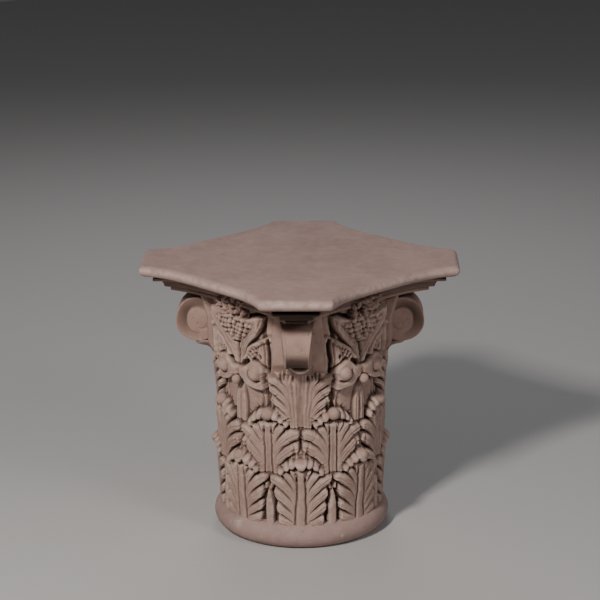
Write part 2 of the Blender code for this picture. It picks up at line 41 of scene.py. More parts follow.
BANDS = (("lower_leaves", BELL_LOW), ("upper_leaves", 0.122), ("corner_leaves", 0.208),
         ("scrolls_and_husks", 0.29), ("husk_mouths", 0.35))
DEEPEST = 0.117
NOISE_ROWS = 64

# The leaves are turned against the slab, what lies over them is straight, and their fronts hang over a
# little. Angles of the corners
LEAF_TURN = math.radians(1.2)
TURNED_BELOW = 0.32
STRAIGHT_ABOVE = 0.345
CURL_OVER = 0.3
CURL_FROM = 0.1375
CORNERS = [math.pi / 4 + corner * math.pi / 2 for corner in range(4)]

# Lobes of a half leaf, from the top down: reach of the tip, level of the root on the rib
LOWER_LOBES = ((0.01, 0.13), (0.021, 0.104), (0.0345, 0.083), (0.053, 0.064), (0.0455, 0.049),
               (0.0435, 0.034), (0.04, 0.023))
UPPER_LOBES = ((0.0095, 0.209), (0.02, 0.184), (0.034, 0.163), (0.053, 0.143), (0.052, 0.125),
               (0.037, 0.11))
CORNER_LOBES = ((0.024, 0.283), (0.04, 0.262), (0.056, 0.243), (0.051, 0.2285), (0.048, 0.215),
                (0.042, 0.204))
LEAF_EDGE = 0.053

# How far the flow lines of a leaf rise from the rib to its edge, by height
LOWER_RISE = ((0.05, 0.028), (0.067, 0.034), (0.093, 0.0455), (0.118, 0.055))
UPPER_RISE = ((0.12, 0.03), (0.144, 0.036), (0.173, 0.048), (0.198, 0.055))
CORNER_RISE = ((0.21, 0.026), (0.234, 0.032), (0.252, 0.038), (0.27, 0.042), (0.288, 0.045))

# Rib of a leaf: half width at its top, how much it widens downwards, depth of the groove beside it
LOWER_RIB = (0.0052, 0.03, 0.0034)
UPPER_RIB = (0.0046, 0.012, 0.004)

# Tongues of a leaf's curled head: offset, height over the knob, half width, part above, part below, front
LOWER_HEAD = (
    (0.0000, 0.0000, 0.0100, 0.0080, 0.0095, 0.1488),
    (0.0142, -0.0042, 0.0060, 0.0080, 0.0056, 0.1454),
    (0.0236, -0.0106, 0.0052, 0.0072, 0.0046, 0.1436),
    (0.0318, -0.0186, 0.0044, 0.0066, 0.0038, 0.1418),
)
UPPER_HEAD = (
    (0.0000, -0.0010, 0.0085, 0.0050, 0.0075, 0.1390),
    (0.0138, -0.0036, 0.0057, 0.0078, 0.0050, 0.1442),
    (0.0228, -0.0096, 0.0050, 0.0070, 0.0046, 0.1430),
    (0.0308, -0.0178, 0.0044, 0.0066, 0.0038, 0.1415),
)
HEAD_FOOT = 0.135
LOWER_KNOB = 0.15
UPPER_KNOB = 0.229

# Pointed leaflets: half width, height where the taper starts, length of the taper, power of its curve
LANCET = (0.008, 0.055, 0.046, 2)
BUD = (0.0122, 0.236, 0.036, 1.8)
BUD_CORE = (0.006, 0.236, 0.029, 2)

# Drilled slots between the fingers at the top of a corner leaf: offset, height, half length
FINGER_SLOTS = ((0.0105, 0.2935, 0.006), (0.0172, 0.299, 0.008), (0.0232, 0.2985, 0.0085),
                (0.029, 0.2955, 0.0075))

# Scroll of a half side: arc length on its radius and height, along its lower and its upper edge
HELIX_RADIUS = 0.1445
HELIX_LOW = ((0.0, 0.285), (0.009, 0.2845), (0.013, 0.2815), (0.0175, 0.2765), (0.026, 0.273),
             (0.036, 0.2705), (0.046, 0.2692), (0.056, 0.2692), (0.072, 0.27))
HELIX_HIGH = ((0.0, 0.301), (0.012, 0.3018), (0.017, 0.305), (0.0215, 0.3105), (0.027, 0.3146),
              (0.034, 0.316), (0.041, 0.3146), (0.049, 0.3105), (0.056, 0.3045), (0.0605, 0.297),
              (0.064, 0.289), (0.072, 0.285))

# Boss of the scroll: arc length, height, radius; and the drop below the bridge: height, radius
BOSS = (0.0371, 0.2945, 0.0122)
DROP = (0.2795, 0.0076)

# Husk of a side: height, half width, distance of its flank from the axis; its rows of berries: height, reach
HUSK = ((0.3, 0.0055, 0.137), (0.31, 0.01, 0.1375), (0.32, 0.016, 0.1385), (0.33, 0.0225, 0.1405),
        (0.344, 0.0325, 0.1445), (0.3585, 0.048, 0.1495), (0.3735, 0.061, 0.1545), (0.388, 0.067, 0.158),
        (0.404, 0.068, 0.159))
BERRIES = ((0.3838, 0.034), (0.3752, 0.04), (0.3664, 0.035), (0.358, 0.023), (0.3505, 0.012))
BERRY_PITCH = 0.0092
BERRY_SIZE = 0.0046
BERRY_BACK = 0.0062

# Half palmette: arc length and height along its rim and along its lower edge; arc length of its first bead
# and its drop below the rim, and the pitch of its beads along and down
FAN_TOP = ((0.012, 0.3165), (0.0212, 0.332), (0.0322, 0.344), (0.0477, 0.3525), (0.063, 0.36))
FAN_LOW = ((0.018, 0.315), (0.032, 0.32), (0.042, 0.314), (0.054, 0.305), (0.063, 0.298))
BEAD_START = (0.0215, 0.0096)
BEAD_PITCH = (0.0048, 0.0056)

# Tip of a corner leaf, from its foot over its nose inwards: height, half width, distance from the axis;
# and how many of these steps along it the shade of the volute begins
CURL = ((0.29, 0.0205, 0.133), (0.2965, 0.0205, 0.142), (0.303, 0.02, 0.148), (0.3056, 0.0192, 0.156),
        (0.307, 0.0184, 0.1655), (0.3096, 0.0178, 0.1702), (0.313, 0.0175, 0.1711), (0.3152, 0.0174, 0.1695),
        (0.3162, 0.0175, 0.164), (0.3164, 0.0178, 0.154), (0.3166, 0.018, 0.142))
CURL_INSIDE = 9.3

# Block behind a volute: height, distance from the axis, half width
PIER = ((0.286, 0.131, 0.045), (0.296, 0.1345, 0.044), (0.306, 0.1385, 0.0428), (0.316, 0.1435, 0.0419),
        (0.335, 0.1445, 0.0417), (0.36, 0.1445, 0.0417), (0.385, 0.1515, 0.0388), (0.4035, 0.1575, 0.0366))

# Volute, in the upright plane through a corner: distance and height of its centre, then the reach of its
# outline and of its eye from there, upwards, outwards, downwards and inwards
VOLUTE_CENTRE = (0.1665, 0.35)
VOLUTE_TURN = (0.0425, 0.0355, 0.0328, 0.0325)
VOLUTE_EYE = (0.024, 0.0165, 0.0185, 0.0215)
VOLUTE_FRONT = 0.2014
VOLUTE_HALF_WIDTH = 0.0192
VOLUTE_DEPTH = 0.0074
VOLUTE_STEPS = 144
HOOK_CENTRE = (0.16, 0.348)

# Rosette of a side: half width, lower and upper end, ground behind it, its leaflets and its drilled holes
ROSETTE_HALF = 0.0325
ROSETTE_LOW = 0.385
ROSETTE_HIGH = 0.421
ROSETTE_GROUND = 0.14
ROSETTE_LEAFLETS = 46
ROSETTE_HOLES = 12

# Base ring: radius of its middle, how far it bulges from there, half its height
RING_MIDDLE = 0.1245
RING_REACH = 0.0208
RING_HALF = 0.021
RING_INSIDE = 0.03
RING_COLUMNS = 420
RING_STEPS = 32

# Slab: its top, half its thickness and a slight inset; distance of its chopped corners from the axis, half
# width of the chop, distance of its sides; steps of its rounded edge and shares of its flat top
TOP = 0.452
SLAB_HALF = 0.00875
SLAB_GAP = 0.0002
SLAB_CORNER = 0.2574
SLAB_CHOP = 0.0558
SLAB_SIDE = 0.2005
SLAB_STEPS = 24
SLAB_SHARES = (0.96, 0.85, 0.6, 0.3, 0.05)
SIDE_POINTS = 90
CHOP_POINTS = 20

# Moulding, from its top down: height, distance of its corners, half width of the chop, distance of its sides,
# and how much painted shade lies on it there
MOULDING = (
    (0.4345, 0.2140, 0.0300, 0.1440, 1.0), (0.4270, 0.2140, 0.0300, 0.1440, 1.0),
    (0.4262, 0.2220, 0.0330, 0.1480, 0.55), (0.4262, 0.2350, 0.0367, 0.1562, 0.55),
    (0.4258, 0.2360, 0.0370, 0.1570, 0.12), (0.4230, 0.2360, 0.0370, 0.1570, 0.12),
    (0.4222, 0.2350, 0.0367, 0.1562, 0.55), (0.4210, 0.2250, 0.0300, 0.1520, 0.55),
    (0.4196, 0.2205, 0.0275, 0.1508, 0.55), (0.4190, 0.2215, 0.0272, 0.1512, 0.55),
    (0.4150, 0.2190, 0.0266, 0.1502, 0.55), (0.4108, 0.2180, 0.0262, 0.1497, 0.55),
    (0.4100, 0.2160, 0.0240, 0.1485, 0.55), (0.4090, 0.2080, 0.0185, 0.1452, 0.55),
    (0.4080, 0.2078, 0.0180, 0.1455, 0.12), (0.4074, 0.2088, 0.0180, 0.1468, 0.12),
    (0.4032, 0.2090, 0.0180, 0.1470, 0.12), (0.4024, 0.2080, 0.0178, 0.1462, 0.55),
    (0.4022, 0.1900, 0.0150, 0.1380, 0.55),
)

# Rings and sides of each knob, boss and drop
BALL_RINGS = 15
BALL_SIDES = 28

# Stone: light, dark and pale tone of the carving and of the smooth parts, what lies on or in it, and painted
# shade
CARVED = ((0.42, 0.283, 0.236, 1.0), (0.31, 0.203, 0.168, 1.0), (0.64, 0.5, 0.42, 1.0))
SMOOTH = ((0.4, 0.276, 0.244, 1.0), (0.31, 0.214, 0.19, 1.0), (0.64, 0.51, 0.45, 1.0))
RUBBED = (0.72, 0.66, 0.61, 1.0)
# Colour of the painted shade, also used for a few faint patches of dirt
SHADE_AND_DIRT = (0.06, 0.037, 0.028, 1.0)
PINHOLE = (0.1, 0.065, 0.05, 1.0)

# Pale scuffs on the front of the base ring and on the slab's front edge: place and reach
SCUFFS = (
    ((0.0000, -0.1450, 0.0320), 0.014),
    ((0.1394, -0.0412, 0.0200), 0.005),
    ((0.1540, -0.2100, 0.4515), 0.008),
    ((0.1650, -0.1990, 0.4515), 0.009),
    ((0.1780, -0.1860, 0.4515), 0.007),
    ((0.1900, -0.1740, 0.4515), 0.006),
)

# Studio: half width and colour of the floor; name, place, size, power and tint of each light, and its aim
FLOOR_HALF = 6
FLOOR = (0.5, 0.49, 0.48, 1.0)
AMBIENT = (0.8, 0.82, 0.86, 1.0)
AMBIENT_STRENGTH = 0.08
LIGHTS = (
    ("key", (0.78, -2.26, 2.06), 0.3, 76.0, (1.0, 0.95, 0.91)),
    ("fill", (2.9, 0.1, 2.0), 0.8, 21.0, (0.98, 0.96, 0.97)),
    ("back", (-1.6, 1.4, 2.4), 1.2, 16.0, (0.95, 0.96, 1.0)),
)
LOOKED_AT = Vector((0, 0, 0.25))

# Camera: focal length and frame in pixels, width of its sensor, its place, turn, pitch and roll
FOCAL_PX = 1919.0
FRAME_PX = 600.0
SENSOR_MM = 36.0
CAMERA_DISTANCE = 3.007
CAMERA_HEIGHT = 1.2507
CAMERA_TURN = math.radians(46.53)
CAMERA_PITCH = 0.28178
CAMERA_ROLL = -0.0079


def ramp(low, high, value):
    """A smooth step from 0 at low to 1 at high: 3t squared less 2t cubed."""
    share = np.clip((value - low) / (high - low), 0.0, 1.0)
    return share * share * (3.0 - 2.0 * share)


def hill(distance, width):
    """A bell-shaped bump of height 1: e to the power of minus the square of distance over width."""
    return np.exp(-((distance / width) ** 2))


def ridges(phase):
    """Rounded ridges of height 1 with narrow grooves where the phase is whole: root of the size of a sine."""
    return np.sqrt(np.abs(np.sin(math.pi * phase)))


def dome(share):
    """A rounded top, 1 in the middle and 0 where the share of its size reaches 1: a quarter circle."""
    return np.sqrt(np.clip(1.0 - share * share, 0.0, 1.0))


def pointed(up, half, start, length, power):
    """Half the width of a leaflet that tapers upwards: 1 less a power of the way up, to the power of 0.8."""
    return half * np.clip(1 - (np.maximum(up - start, 0) / length) ** power, 0, 1) ** 0.8


def averaged(line, rounds):
    """Rounds the bends of a line by averaging each point with its two neighbours. Its ends stay."""
    for _ in range(rounds):
        line[1:-1] = line[1:-1] * 0.5 + (line[:-2] + line[2:]) * 0.25
    return line


def eased(value, places, levels):
    """Reads a line through these places and levels at the given values, with its bends rounded."""
    fine = np.linspace(places[0], places[-1], 160)
    return np.interp(value, fine, averaged(np.interp(fine, places, levels), 70))


def blurred(field, reach, rounds=3):
    """The field averaged over a square of this half size, some times over. It closes round the axis."""
    for _ in range(rounds):
        field = sum(np.roll(field, step, axis=1) for step in range(-reach, reach + 1)) / (2 * reach + 1)
        padded = np.pad(field, ((reach, reach), (0, 0)), mode="edge")
        field = sum(padded[step:step + field.shape[0]] for step in range(2 * reach + 1)) / (2 * reach + 1)
    return field


class Bell:
    """The carved ground between base ring and moulding, as a grid over height (rows) and angle (columns).

    Its arc lengths are folded about the sides, the corners and the leaves of each tier, and wander a little.
    """

    def __init__(self):
        rows = int(round((BELL_HIGH - BELL_LOW) / ROW_STEP)) + 1
        self.angle, self.height = np.meshgrid(np.arange(COLUMNS) * 2 * math.pi / COLUMNS,
                                              np.linspace(BELL_LOW, BELL_HIGH, rows))
        wander = 0.0011 * self.noise(46, 0.021, 1) + 0.0005 * self.noise(130, 0.008, 2)
        lift = 0.0011 * self.noise(40, 0.023, 3) + 0.0005 * self.noise(120, 0.009, 4)
        arc = self.angle * LEAF_RADIUS + wander

        def folded(pitch, start):
            """Arc length to the nearest of the places that lie one pitch apart from the start."""
            return np.abs((arc - start + pitch / 2) % pitch - pitch / 2)

        self.up = self.height + lift
        self.side, self.corner = folded(2 * EIGHTH, 0.0), folded(2 * EIGHTH, EIGHTH)
        self.lower, self.upper = folded(EIGHTH, 0.0), folded(EIGHTH, EIGHTH / 2)
        self.hand = np.sign(np.sin(8 * (arc / LEAF_RADIUS)))
        self.out = np.interp(self.height, *zip(*BELL_PROFILE))

    def noise(self, around, tall, seed):
        """Soft noise from -1 to 1 that closes round the axis.

        A lattice of random values, with so many cells round the axis and cells this tall, is read with a
        smooth step between its corners.
        """
        lattice = np.random.default_rng(seed).uniform(-1.0, 1.0, (NOISE_ROWS, around))
        column = (self.angle / (2 * math.pi) % 1.0) * around
        row = self.height / tall
        left, low = np.floor(column).astype(int), np.floor(row).astype(int)
        across, up = ramp(0, 1, column - left), ramp(0, 1, row - low)
        left, right, low, high = left % around, (left + 1) % around, low % NOISE_ROWS, (low + 1) % NOISE_ROWS
        bottom = lattice[low, left] * (1 - across) + lattice[low, right] * across
        top = lattice[high, left] * (1 - across) + lattice[high, right] * across
        return bottom * (1 - up) + top * up

    def nearness(self, reach):
        """Distance to where a field is zero, plus inside: the field over its slope, at least 1."""
        step = 4 * math.pi * LEAF_RADIUS / COLUMNS
        across = (np.roll(reach, -1, axis=1) - np.roll(reach, 1, axis=1)) / step
        upward = np.gradient(reach, ROW_STEP, axis=0)
        return reach / np.maximum(np.hypot(across, upward), 1.0)

    def lay(self, inside, front, moat=0.003, edge=0.0012):
        """Lays a form in front of what is there, with a drilled moat round it.

        Inside is the distance to its outline. A bell-shaped trench outside that is taken off the ground, then
        the front takes over by a smooth step across the outline.
        """
        self.out = self.out - moat * hill(np.minimum(inside + 0.0016, 0.0), 0.0022)
        cover = ramp(-edge * 0.4, edge, inside)
        self.out = self.out * (1 - cover) + front * cover

    def pit(self, across, up, wide, tall, depth):
        """A drilled hole with soft edges at a folded place."""
        self.out = self.out - depth * np.exp(-((across / wide) ** 2 + (up / tall) ** 2) ** 1.5)

    def ball(self, across, up, wide, tall, front, foot):
        """A rounded knob in front of what is there: a quarter circle from its foot to its front."""
        share = np.hypot(across / wide, up / tall)
        bulge = foot + (front - foot) * dome(share)
        self.out = np.where(share < 1, np.maximum(self.out, bulge), self.out)

    def tongue(self, across, up, wide, above, below, front):
        """A tongue of a curled head: rounded over at its top, furthest out near its lower end, then cut off.

        Going down from its upper edge, it comes forward with a sine and then falls back a little. Across, it
        is rounded by a power of a quarter circle.
        """
        round_off = dome(np.clip(across / wide, -1, 1))
        top, bottom = above * round_off ** 0.35, -below * round_off ** 0.8
        share = np.clip((top - up) / np.maximum(top - bottom, 0.0004), 0, 1)
        bulge = np.sin(np.minimum(share / 0.6, 1.0) * math.pi / 2)
        bulge = bulge - 0.16 * np.clip((share - 0.6) / 0.4, 0, 1) ** 2
        bulge = HEAD_FOOT + (front - HEAD_FOOT) * bulge * round_off ** 0.4
        inside = (np.abs(across) < wide) & (up < top) & (up > bottom)
        self.out = np.where(inside, np.maximum(self.out, bulge), self.out)


class Leaf:
    """Half a leaf, mirrored about its rib: how its flow lines run, and where its lobes and notches lie.

    A flow line leaves the rib at its level and rises by the share of its way to the edge to the power of 0.3,
    less a small droop with the fourth power.
    """

    def __init__(self, lobes, rises, start, sharp=0.8):
        self.lobes, self.start, self.sharp = lobes, start, sharp
        self.heights, self.rises = zip(*rises)

    def climb(self, across, up):
        """How far the flow line through this place has risen from the rib."""
        share = np.clip((across - self.start) / (LEAF_EDGE - self.start), 0.0, 1.3)
        return np.interp(up, self.heights, self.rises) * (1.08 * share ** 0.3 - 0.08 * share ** 4)

    def level_height(self, across, level):
        """The height where the flow line of this level is so far across: found by going back and forth."""
        up = level + self.rises[-1]
        for _ in range(12):
            up = level + float(self.climb(across, up))
        return up

    def outline(self, level):
        """Reach for each level: round tips and narrow notches.

        Also gives the place between the middle of a lobe (0) and its notches (-1 and 1), and the count of
        lobes from the top, whole at each notch.
        """
        reach, place, count = np.zeros_like(level), np.zeros_like(level), np.zeros_like(level)
        tips, roots = zip(*self.lobes)
        for index, (tip, root) in enumerate(self.lobes):
            if index:
                high, above = (roots[index - 1] + root) / 2, min(tip, tips[index - 1]) * self.sharp
            else:
                high, above = root + (root - roots[1]) * 0.75, tip * 0.55
            if index + 1 < len(roots):
                low, below = (roots[index + 1] + root) / 2, min(tip, tips[index + 1]) * self.sharp
            else:
                low, below = root - 0.012, tip * 0.9
            up = np.clip((level - root) / (high - root), 0, 1)
            down = np.clip((root - level) / (root - low), 0, 1)
            part = np.where(level >= root, above + (tip - above) * dome(up),
                            below + (tip - below) * dome(down))
            here = (level < high) & (level >= low)
            reach = np.where(here, part, reach)
            place = np.where(here, up - down, place)
            count = np.where(here, index + (1 - (up - down)) / 2, count)
        return reach, place, count

    def drill(self, bell, across, up):
        """Drills a hole at each notch between two lobes, apart from the top one."""
        for (tip, root), (after, after_root) in zip(self.lobes[1:], self.lobes[2:]):
            wide = min(tip, after) * self.sharp
            tall = self.level_height(wide, (root + after_root) / 2)
            bell.pit(across - wide, up - tall, 0.002, 0.002, 0.0075)


def scalloped(bell, reach, count, flutes, shift, drift, seed):
    """The flutes along the lobes of a leaf, and its reach with a small scallop at the end of each flute.

    The flutes follow the count of lobes, shifted between the halves of a leaf, and drift with soft noise.
    """
    flute = ridges(count * flutes + shift * bell.hand + drift * bell.noise(90, 0.016, seed))
    return flute, reach - 0.0016 * (1 - flute) * (count > 1)


def edged(front, inside):
    """The front of a leaf with its edge, which stands up a little before it drops."""
    return front + 0.0006 * hill(inside - 0.0022, 0.0016) - 0.0012 * ramp(0.0035, 0.0, inside)


def carve_leaf(bell, leaf, across, up, base, rib, seed):
    """Lays a leaf on the bell.

    Its lobes are crowned across the flow lines and fluted along them, each flute ends in a small scallop, the
    notches end in drilled holes that run on inwards as grooves, and a rounded rib lies in its middle.
    """
    reach, place, count = leaf.outline(up - leaf.climb(across, up))
    flute, reach = scalloped(bell, reach, count, 4, 0.12, 0.22, seed)
    inside = bell.nearness(reach - across)
    near_rib = ramp(leaf.start - 0.002, leaf.start + 0.005, across)
    along = np.clip(across / np.maximum(reach, 0.004), 0, 1)
    vary = 0.75 + 0.45 * bell.noise(60, 0.03, seed + 1)
    front = base + 0.0014 * near_rib * (1 - place * place) * (0.4 + 0.6 * along)
    front = edged(front + 0.0025 * near_rib * vary * (flute - 0.6), inside)
    split = hill((1 - np.abs(place)) * 0.0085, 0.0013 + 0.001 * along) * ramp(0.25, 0.85, along)
    front -= 0.0066 * split * (count > 0.7)
    half, widening, groove = rib
    width = half + widening * np.clip(leaf.lobes[1][1] - up + 0.03, 0, 1)
    front = np.where(across < width, base - 0.0004 + 0.0023 * dome(across / width), front)
    front -= groove * hill(across - width - 0.001, 0.0011)
    bell.lay(inside, front)
    leaf.drill(bell, across, up)


def carve_head(bell, across, up, knob, head):
    """The curled head of a leaf: tongues that hang over a dark slot, a little different on each leaf."""
    across = across + 0.0012 * bell.noise(52, 0.019, 71)
    up = up + 0.002 * bell.noise(58, 0.023, 72)
    for offset, rise, wide, _, below, _ in head:
        slot = np.maximum(np.abs(up - knob - rise + below + 0.004) - 0.0016, 0.0)
        bell.out -= 0.0095 * hill(across - offset, wide * 0.9) * hill(slot, 0.0014)
    for offset, rise, *tongue in head[::-1]:
        bell.tongue(across - offset, up - knob - rise, *tongue)
    for offset, rise, wide, _, below, _ in head[1:]:
        bell.pit(across - offset + wide * 1.02, up - knob - rise + below * 0.6, 0.0012, below * 0.65, 0.006)


def carve_lower(bell):
    """The lower tier of leaves, the lancets between them and the drilled eyes over the lancets."""
    across, up, beside = bell.lower, bell.up, bell.upper
    base = 0.1345 + 0.004 * ramp(0.045, 0.13, up) + 0.002 * ramp(0.115, 0.145, up)
    base = base - 0.002 * ramp(0.03, 0.054, across)
    carve_leaf(bell, Leaf(LOWER_LOBES, LOWER_RISE, 0.0085), across, up, base, LOWER_RIB, 31)
    carve_head(bell, across, up, LOWER_KNOB, LOWER_HEAD)
    half = pointed(up, *LANCET)
    bell.out -= 0.006 * ramp(0.0, 0.003, half + 0.0022 - beside) * (up < 0.106)
    bell.lay(half - beside, 0.1305 + 0.0045 * dome(beside / np.maximum(half, 0.001)), 0.003, 0.001)
    bell.pit(beside, up - 0.108, 0.0042, 0.006, 0.006)
    bell.pit(beside, up - 0.1085, 0.0018, 0.009, 0.007)
    bell.pit(beside - 0.0046, up - 0.111 + beside * 0.3, 0.0046, 0.0015, 0.008)


def carve_upper(bell):
    """The upper tier of leaves, with the drilled eyes where their lobes meet."""
    across, up, beside = bell.upper, bell.up, bell.lower
    base = 0.1355 + 0.0035 * ramp(0.12, 0.205, up) + 0.002 * ramp(0.195, 0.225, up)
    base = base - 0.0016 * ramp(0.03, 0.054, across)
    carve_leaf(bell, Leaf(UPPER_LOBES, UPPER_RISE, 0.008), across, up, base, UPPER_RIB, 41)
    carve_head(bell, across, up, UPPER_KNOB, UPPER_HEAD)
    bell.pit(across, up - UPPER_KNOB + 0.0125, 0.0085, 0.004, 0.009)
    bell.pit(beside, up - 0.179, 0.0017, 0.0085, 0.009)
    bell.pit(beside - 0.0046, up - 0.185 + beside * 0.3, 0.0046, 0.0015, 0.008)


def carve_bud(bell):
    """The closed bud on its stalk in the middle of a side: three ribs that run up to a rounded point."""
    across, up = bell.side, bell.up
    half, core = pointed(up, *BUD), pointed(up, *BUD_CORE)
    front = 0.1328 + 0.0022 * dome(across / 0.014) ** 0.7
    front = front + 0.0013 * ramp(0.0, 0.0012, core - across) - 0.0012 * hill(across - core - 0.0006, 0.0009)
    front -= 0.0007 * hill(across, 0.001) * (up < 0.262)
    bell.lay(bell.nearness(half - across), front, 0.0012, 0.0018)


def carve_corner(bell):
    """The leaf under a volute: long fluted lobes on each side, and a ribbed middle between drilled fingers.

    The shoulder behind its top is cut into fingers. The leaf ends where its curled tip begins.
    """
    across, up = bell.corner, bell.up
    base = 0.1372 + 0.004 * ramp(0.21, 0.29, up) + 0.003 * ramp(0.265, 0.296, up)
    base = base - 0.0022 * ramp(0.022, 0.056, across)
    leaf = Leaf(CORNER_LOBES, CORNER_RISE, 0.0165, 0.84)
    level = up - leaf.climb(across, up)
    reach, place, count = leaf.outline(level)
    reach = np.where(level < 0.2, 0.018 + 0.2 * np.maximum(up - 0.2, 0), reach)
    reach = np.where((level > 0.285) & (up < 0.303), np.maximum(reach, 0.021), reach)
    flute, reach = scalloped(bell, reach, count, 3, 0.15, 0.25, 51)
    inside = bell.nearness(np.minimum(reach - across, 0.3025 - up))
    beside = ramp(0.015, 0.021, across)
    along = np.clip((across - 0.016) / np.maximum(reach - 0.016, 0.004), 0, 1)
    front = base + 0.0014 * beside * (1 - place * place)
    front = edged(front + 0.0021 * beside * (flute - 0.6), inside)
    front -= 0.0074 * hill((1 - np.abs(place)) * 0.0075, 0.0019) * beside * ramp(0.2, 0.8, along)
    spread = 0.8 + 0.4 * ramp(0.21, 0.29, up)
    deeper = 0.0022 + 0.002 * ramp(0.24, 0.295, up)
    front += (1 - beside) * deeper * (ridges((across / spread - 0.0048) / 0.006) - 0.75)
    shoulder = bell.nearness(np.minimum(0.0345 - across, 0.317 - 0.3 * across - up))
    fingers = 0.141 + 0.0034 * ridges((across - 0.017) / 0.0058) * ramp(0.0, 0.006, shoulder)
    bell.lay(np.minimum(shoulder, up - 0.28), fingers, edge=0.0014)
    bell.lay(inside, front, edge=0.0014)
    leaf.drill(bell, across, up)
    for offset, tall, long in FINGER_SLOTS:
        bell.pit(across - offset, up - tall, 0.0017, long, 0.007)


def carve_helix(bell):
    """The scroll of each half side: one smooth raised band from the corner leaf in and round the boss.

    A crescent groove lies on the middle's side of the boss and a shadowed hollow under it. The band swells
    into the boss on its outer side. The plain bridge joins both bands, with a drop below it.
    """
    across, up = bell.side * HELIX_RADIUS / LEAF_RADIUS, bell.up
    low, high = eased(across, *zip(*HELIX_LOW)), eased(across, *zip(*HELIX_HIGH))
    inside = bell.nearness(np.minimum(up - low, high - up))
    front = 0.14 + 0.004 * dome(1 - np.clip(inside / 0.006, 0, 1)) * ramp(0.002, 0.018, across)
    front += 0.002 * ramp(0.018, 0.004, across) * ramp(0.0, 0.004, inside)
    bell.lay(inside, front, 0.0026)
    offset, tall = across - BOSS[0], up - BOSS[1]
    away = np.hypot(offset, tall) - BOSS[2] * 0.9
    groove = ramp(0.003, -0.004, offset) * ramp(-0.0125, -0.0095, tall) * ramp(0.006, 0.0025, tall)
    under = ramp(-0.006, -0.0095, tall)
    bell.out -= 0.007 * hill(away - 0.0013, 0.0012) * groove
    bell.out -= 0.008 * hill(away - 0.001, 0.0013) * under * (1 - groove)
    joined = (1 - groove) * (1 - under) * ramp(-0.004, 0.006, offset)
    bell.out += 0.0014 * hill(np.maximum(away, 0.0), 0.006) * joined
    bell.pit(across - 0.006, up - 0.2842, 0.0075, 0.0011, 0.0045)
    bell.pit(across, up - DROP[0] + 0.007, 0.01, 0.0032, 0.006)
    bell.pit(across - 0.0115, up - 0.2785, 0.0022, 0.005, 0.004)


def carve_fan(bell):
    """The half palmette between husk and scroll: a broad rim, flutes under its outer part, and beads.

    Its ground dishes in under the rim. A dark gap parts it from the block of the volute.
    """
    across, up = bell.side, bell.up
    rise = 0.003 * ramp(0.03, 0.062, across)
    slope = 0.006 * ramp(0.372, 0.35, up) * ramp(0.298, 0.318, up)
    bell.out += (slope + rise) * ramp(0.012, 0.022, across) * ramp(0.3, 0.312, up)
    rim = bell.nearness(eased(across, *zip(*FAN_TOP)) - up)
    inside = np.minimum(rim, bell.nearness(up - eased(across, *zip(*FAN_LOW))))
    front = 0.1392 + rise * 0.6
    front += 0.008 * dome(np.clip((rim - 0.003) / 0.0042, -1, 1)) ** 0.8
    flutes = 0.005 * ramp(0.0045, 0.0068, rim) * ramp(0.0395, 0.0425, across) * ridges(across / 0.0045 + 0.3)
    bell.lay(np.minimum(inside, across - 0.0125), front + flutes, 0.002)
    seeds = np.random.default_rng(15)
    for row in range(3):
        for index in range(5 - row):
            middle = BEAD_START[0] + BEAD_PITCH[0] * index + 0.0022 * row + seeds.uniform(-0.0006, 0.0006)
            tall = np.interp(middle, *zip(*FAN_TOP)) - BEAD_START[1] - BEAD_PITCH[1] * row
            tall = tall + seeds.uniform(-0.0006, 0.0006)
            size = seeds.uniform(0.002, 0.0029)
            bell.pit(across - middle, up - tall, size * 1.5, size * 1.5, 0.0015)
            bell.ball(across - middle, up - tall, size, size * 1.25, 0.1452 - 0.0006 * row, 0.14)
    bell.pit(across - 0.044, up - 0.322, 0.0024, 0.0044, 0.009)
    gap = np.clip(1 - np.abs(across - 0.06) / 0.0042, 0, 1) * ramp(0.296, 0.304, up)
    bell.out -= 0.02 * np.sqrt(gap) * ramp(0.362, 0.348, up)


def carve_husk(bell):
    """The trumpet-shaped husk with fluted flanks, and the bunch of berries in its mouth.

    Rows of berries lie half a pitch apart, each a little off its place. A leaflet hangs out below them.
    """
    up = bell.up
    heights, halves, rims = zip(*HUSK)
    half, rim = eased(up, heights, halves), eased(up, heights, rims)
    across = bell.side * rim / LEAF_RADIUS
    edge = bell.nearness(half - across)
    lip = 0.3915 - 0.007 * ramp(0.06, 0.03, across)
    front = rim - BERRY_BACK * ramp(0.003, 0.018, edge)
    front += 0.0026 * (ridges(edge / 0.0042) - 0.65) * ramp(0.0175, 0.015, edge)
    front -= 0.006 * ramp(0.003, 0.0, edge) ** 2
    front -= 0.0048 * hill(across, 0.0017) * ramp(0.35, 0.338, up) * ramp(0.303, 0.315, up)
    front += 0.0012 * ridges(across / 0.006 + 0.5) * ramp(0.345, 0.33, up)
    bell.lay(np.minimum(edge, np.minimum(lip - up, up - 0.299)), front, 0.002, 0.0014)
    recess = ramp(lip, lip + 0.0012, up) * hill(np.maximum(up - lip - 0.0045, 0), 0.002)
    bell.out -= 0.0055 * recess * (half > across)
    seeds = np.random.default_rng(8)
    for row, (tall, reach) in enumerate(BERRIES):
        back = np.interp(tall, heights, rims) - BERRY_BACK
        for index in range(int(reach / BERRY_PITCH) + 1):
            middle = (index + (0.5 if row % 2 else 0.0)) * BERRY_PITCH
            middle = middle + seeds.uniform(-0.0018, 0.0018) * (index > 0)
            height = tall + seeds.uniform(-0.0018, 0.0018)
            size = BERRY_SIZE + seeds.uniform(-0.0013, 0.0006)
            crest = back + 0.006 + seeds.uniform(-0.0014, 0.0008)
            bell.pit(across - middle, up - height, size * 1.45, size * 1.45, 0.0014)
            bell.ball(across - middle, up - height, size, size * 1.05, crest, back - 0.0004)
    bell.pit(across, up - 0.3405, 0.0085, 0.002, 0.005)
    bell.ball(across, up - 0.345, 0.009, 0.0034, 0.1462, 0.14)


